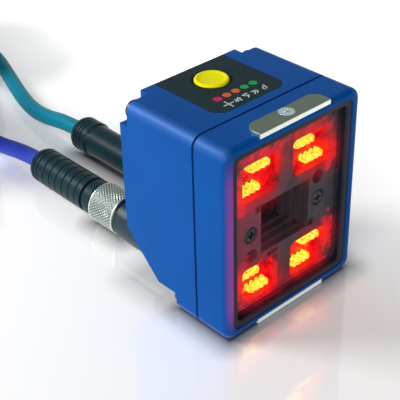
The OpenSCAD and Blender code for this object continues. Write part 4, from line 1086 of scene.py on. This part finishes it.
def knurled_ring(node, columns=240, rows=64):
    """Points and faces of a coupling nut along +Y, with a diamond knurl between its chamfers."""
    low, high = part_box(node)
    outer = (high[0] - low[0]) / 2 / MM
    length = (high[1] - low[1]) / MM
    body = np.column_stack([np.full(rows, outer), np.linspace(NUT_CHAMFER, length - NUT_CHAMFER, rows)])
    profile = np.vstack([
        [(NUT_BORE, 0), (outer - NUT_CHAMFER, 0)], body, [(outer - NUT_CHAMFER, length), (NUT_NECK, length)],
        [(NUT_NECK, NUT_SHOULDER), (NUT_BORE, NUT_SHOULDER)],
    ])
    a = np.arange(columns) / columns
    r, d = profile[:, :1], profile[:, 1:]
    tooth, slant = KNURL_TEETH * a[None], d / KNURL_RISE
    stand = np.minimum(triangle_wave(tooth + slant), triangle_wave(tooth - slant))
    knurled = (r >= outer) & (d > KNURL_EDGE) & (d < length - KNURL_EDGE)
    r = r - np.where(knurled, KNURL_DEPTH * (1 - stand), 0)
    turn = 2 * np.pi * a[None]
    centre = np.array([(low[0] + high[0]) / 2, low[1], (low[2] + high[2]) / 2])
    points = np.stack([r * np.cos(turn), d + 0 * turn, r * np.sin(turn)], -1).reshape(-1, 3) * MM + centre
    return points, grid_faces(len(profile), columns, True, True)


def nut_material():
    """Nickel plate, bright on the tips of the knurl and dark in its grooves, by the distance from the axis.

    The two nuts mirror each other about X = 0, so one measure of X serves both.
    """
    material = brushed_material("nut_metal", (230, 238, 232), 0.34, (200.0, 40.0, 200.0), 0.15)
    w, shader = reopened(material)
    axes = w.axes()
    low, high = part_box("power_nut")
    x, _, z = middle("power_nut")
    across = w.math("SUBTRACT", w.math("ABSOLUTE", axes["X"]), abs(x))
    away = w.length(across, w.math("SUBTRACT", axes["Z"], z))
    recolour(w, shader, w.grown(away, (high[0] - low[0]) / 2, -KNURL_DEPTH * MM), GROOVE_GREY)
    return material


nut_metal = nut_material()
for name in paths:
    nut = new_piece(f"{name}_knurled_nut", *knurled_ring(f"{name}_nut"), smooth_angle=12)
    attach(nut, READER)
    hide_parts(f"{name}_nut")
    paint(nut_metal, nut)
    print(nut.name, len(nut.data.polygons), "faces")

# %% [markdown]
# The connector block is die-cast and coated dark, and the receptacles are screwed into it. The grips are
# moulded over the plugs in a dark, slightly glossy plastic, which the straps of the hanks share.

# %% Block, receptacles and grips
dark_coat = skin_material("dark_coat", (22, 44, 50), (28, 52, 58), 0.36, spread=0.15, Specular_IOR_Level=0.25)
paint(dark_coat, softened("connector_block", 0.5, 3),
      softened("power_receptacle", 0.15), softened("network_receptacle", 0.15))
grip_black = skin_material("grip_black", (20, 50, 57), (16, 43, 50), 0.36, spread=0.15, drift=90.0,
                           grain=1800.0, bump=0.25, Specular_IOR_Level=0.12)
grips = [softened("power_grip", 0.15), softened("network_grip", 0.15)]
paint(grip_black, *grips, "power_plug_core", "network_plug_core", *straps)
print("connectors and", len(grips), "grips dressed")

# %% [markdown]
# ## The cords' own finish
# The jackets are matt plastic. The power cord ends in five open wires, one colour each. They are one solid,
# so one material reads the angle round the cord. The network cord ends in a clear moulded plug.

# %% Cord finish
JACKETS = {
    "power": ("blue_jacket", (64, 88, 214), (56, 78, 198)),
    "network": ("teal_jacket", (0, 154, 178), (0, 142, 166)),
}
WIRE_COLOURS = ((92, 52, 30), (225, 225, 220), (40, 70, 180), (24, 24, 26), (120, 120, 124))
COPPER, BARE_LENGTH = (196, 120, 70), 5 * MM


def wire_material():
    """Five wire colours by the angle round the cord's end, with bare copper beyond the insulation."""
    material, w, shader = new_material("wire_colours", Roughness=0.45)
    low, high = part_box("power_wires")
    axes = w.axes()
    x = w.math("SUBTRACT", axes["X"], (low[0] + high[0]) / 2)
    z = w.math("SUBTRACT", axes["Z"], paths["power"][-1][2])
    turn = w.math("FRACT", w.math("DIVIDE", w.math("ARCTAN2", z, x), 2 * math.pi))
    stops = [(i / len(WIRE_COLOURS), linear(*c)) for i, c in enumerate(WIRE_COLOURS)]
    bare = w.math("GREATER_THAN", axes["Y"], high[1] - BARE_LENGTH)
    w.join(w.ramp(turn, stops, "CONSTANT"), shader.inputs["Base Color"])
    recolour(w, shader, bare, COPPER)
    w.join(bare, shader.inputs["Metallic"])
    return material


jackets = {
    name: skin_material(*finish, 0.5, grain=1500.0, bump=0.3, Specular_IOR_Level=0.2)
    for name, finish in JACKETS.items()
}
paint(jackets["power"], cords["power"])
paint(jackets["network"], cords["network"], plug_boot)
paint(wire_material(), open_wires)
paint(skin_material("clear_moulding", (205, 214, 220), (190, 200, 208), 0.12, spread=0.08), clear_plug)
print("cords dressed:", [material.name for material in jackets.values()])

# %% [markdown]
# ## The studio
# A large soft light stands on the left and a smaller one behind, also on the left, for the long edges. Bare
# bulbs would give hard shadows; wide soft lights are what a product photographer uses.

# %% Lights
LIGHT_TARGET = (0, 0, 0.03)


def area_light(name, place, size, power):
    """A square soft light at a place, turned so that it shines at the reader."""
    data = bpy.data.lights.new(name, "AREA")
    data.size = size
    data.energy = power
    away = Vector(place) - Vector(LIGHT_TARGET)
    turned = away.to_track_quat("Z", "Y").to_matrix().to_4x4()
    new_object(name, data).matrix_world = Matrix.Translation(place) @ turned
    print(name, power, "W")


area_light("left_softbox", (-1.36, -0.56, 0.6), size=0.95, power=13.0)
area_light("rim_softbox", (-0.44, 0.5, 0.48), size=0.3, power=4.2)

# %% [markdown]
# The floor is white and glossy, so that the reader stands on a faint reflection. More light would whiten it
# but wash out the reader. So it shines by itself, only for the camera and mirror-like surfaces. As that
# hides the dark line where things touch it, its material darkens there, and a little under the overhang.

# %% Floor
FLOOR_HALF = 3.0
FLOOR_GLOW = 0.23
# Axis, where a rise of the glow starts, how far it runs, and what it adds.
GLOW_RISES = (("Y", -0.05, 0.3, 0.3), ("X", 0.01, 0.08, 0.35))
CONTACT_REACH, CONTACT_FALL, CONTACT_DARK = 9 * MM, 0.7, (0.08, 0.08, 0.09, 1)
# The height below which points count, and how light the floor stays under them.
TOUCHING, OVERHANGING = (1 * MM, 0.0), (40 * MM, 0.5)
STANDING = (
    (CASE, TOUCHING),
    (("power_nut", "power_grip"), TOUCHING),
    (("network_nut", "network_grip"), TOUCHING),
    (CASE, OVERHANGING),
)


def seen_by_mirrors(w):
    """1 for what the camera sees directly, in a mirror-like surface or through glass."""
    rays = w.node("LightPath").outputs
    mirrored = w.math("MAXIMUM", rays["Is Glossy Ray"], rays["Is Transmission Ray"])
    return w.math("MAXIMUM", rays["Is Camera Ray"], mirrored)


def clear_of_feet(w, axes):
    """0 on the floor where the case and the plugs touch it, growing to 1 at CONTACT_REACH from there.

    Each row of STANDING marks off a rectangle on the floor by the low points of its nodes.
    """
    clear = 1.0
    for names, (below, least) in STANDING:
        points = node_points(*names)
        near_floor = points[points[:, 2] < below]
        middle_xy = (near_floor.min(0) + near_floor.max(0)) / 2
        half_xy = (near_floor.max(0) - near_floor.min(0)) / 2
        gap = w.length(*(w.beyond(axes[axis], middle_xy[i], half_xy[i]) for i, axis in enumerate("XY")))
        share = w.math("DIVIDE", gap, CONTACT_REACH, clamp=True)
        clear = w.math("MINIMUM", clear, w.from_share(share, least))
    return clear


def floor_material():
    """White, glossy and dark next to what touches it, for the camera; a plain pale grey to other light."""
    material, w, shader = new_material("floor_white", Roughness=0.5, Coat_Roughness=0.05, Coat_IOR=2.2)
    direct = w.node("LightPath").outputs["Is Camera Ray"]
    seen = seen_by_mirrors(w)
    axes = w.axes()
    clear = w.math("POWER", clear_of_feet(w, axes), CONTACT_FALL)
    shade = w.math("MAXIMUM", clear, w.math("SUBTRACT", 1.0, direct))
    white = FLOOR_GLOW
    for axis, start, span, added in GLOW_RISES:
        white = w.math("ADD", w.math("MULTIPLY", w.grown(axes[axis], start, span), added), white)
    w.join(direct, shader.inputs["Coat Weight"])
    w.join(w.mix(seen, (0.75, 0.75, 0.75, 1), w.mix(shade, CONTACT_DARK, WHITE)), shader.inputs["Base Color"])
    w.join(w.mix(seen, BLACK, WHITE), shader.inputs["Emission Color"])
    w.join(w.math("MULTIPLY", shade, white), shader.inputs["Emission Strength"])
    return material


floor_corners = np.array([(-1, -1, 0), (1, -1, 0), (1, 1, 0), (-1, 1, 0)]) * FLOOR_HALF
floor = new_piece("floor", floor_corners, [(0, 1, 2, 3)])
paint(floor_material(), floor)
print("floor", 2 * FLOOR_HALF, "m wide")

# %% [markdown]
# The surround is white at the horizon and greyer overhead. As light on the reader it is weaker than what the
# camera and mirror-like surfaces see, so that colours render about as they are written.

# %% Surround
AMBIENT = 0.42
SKY = [(0.1, WHITE), (0.5, (0.45, 0.45, 0.45, 1))]
world = bpy.data.worlds.new("studio")
bpy.context.scene.world = world
world.use_nodes = True
surround = Wiring(world.node_tree)
backdrop = world.node_tree.nodes["Background"]
direction = surround.node("TexCoord").outputs["Generated"]
upward = surround.node("SeparateXYZ", {0: direction}).outputs["Z"]
surround.join(surround.ramp(upward, SKY), backdrop.inputs["Color"])
surround.join(surround.from_share(seen_by_mirrors(surround), AMBIENT), backdrop.inputs["Strength"])
bpy.context.scene.view_settings.view_transform = "Standard"
print("surround ready, ambient", AMBIENT)

# %% [markdown]
# ## Sizes
# Dressing a part doesn't change its size.
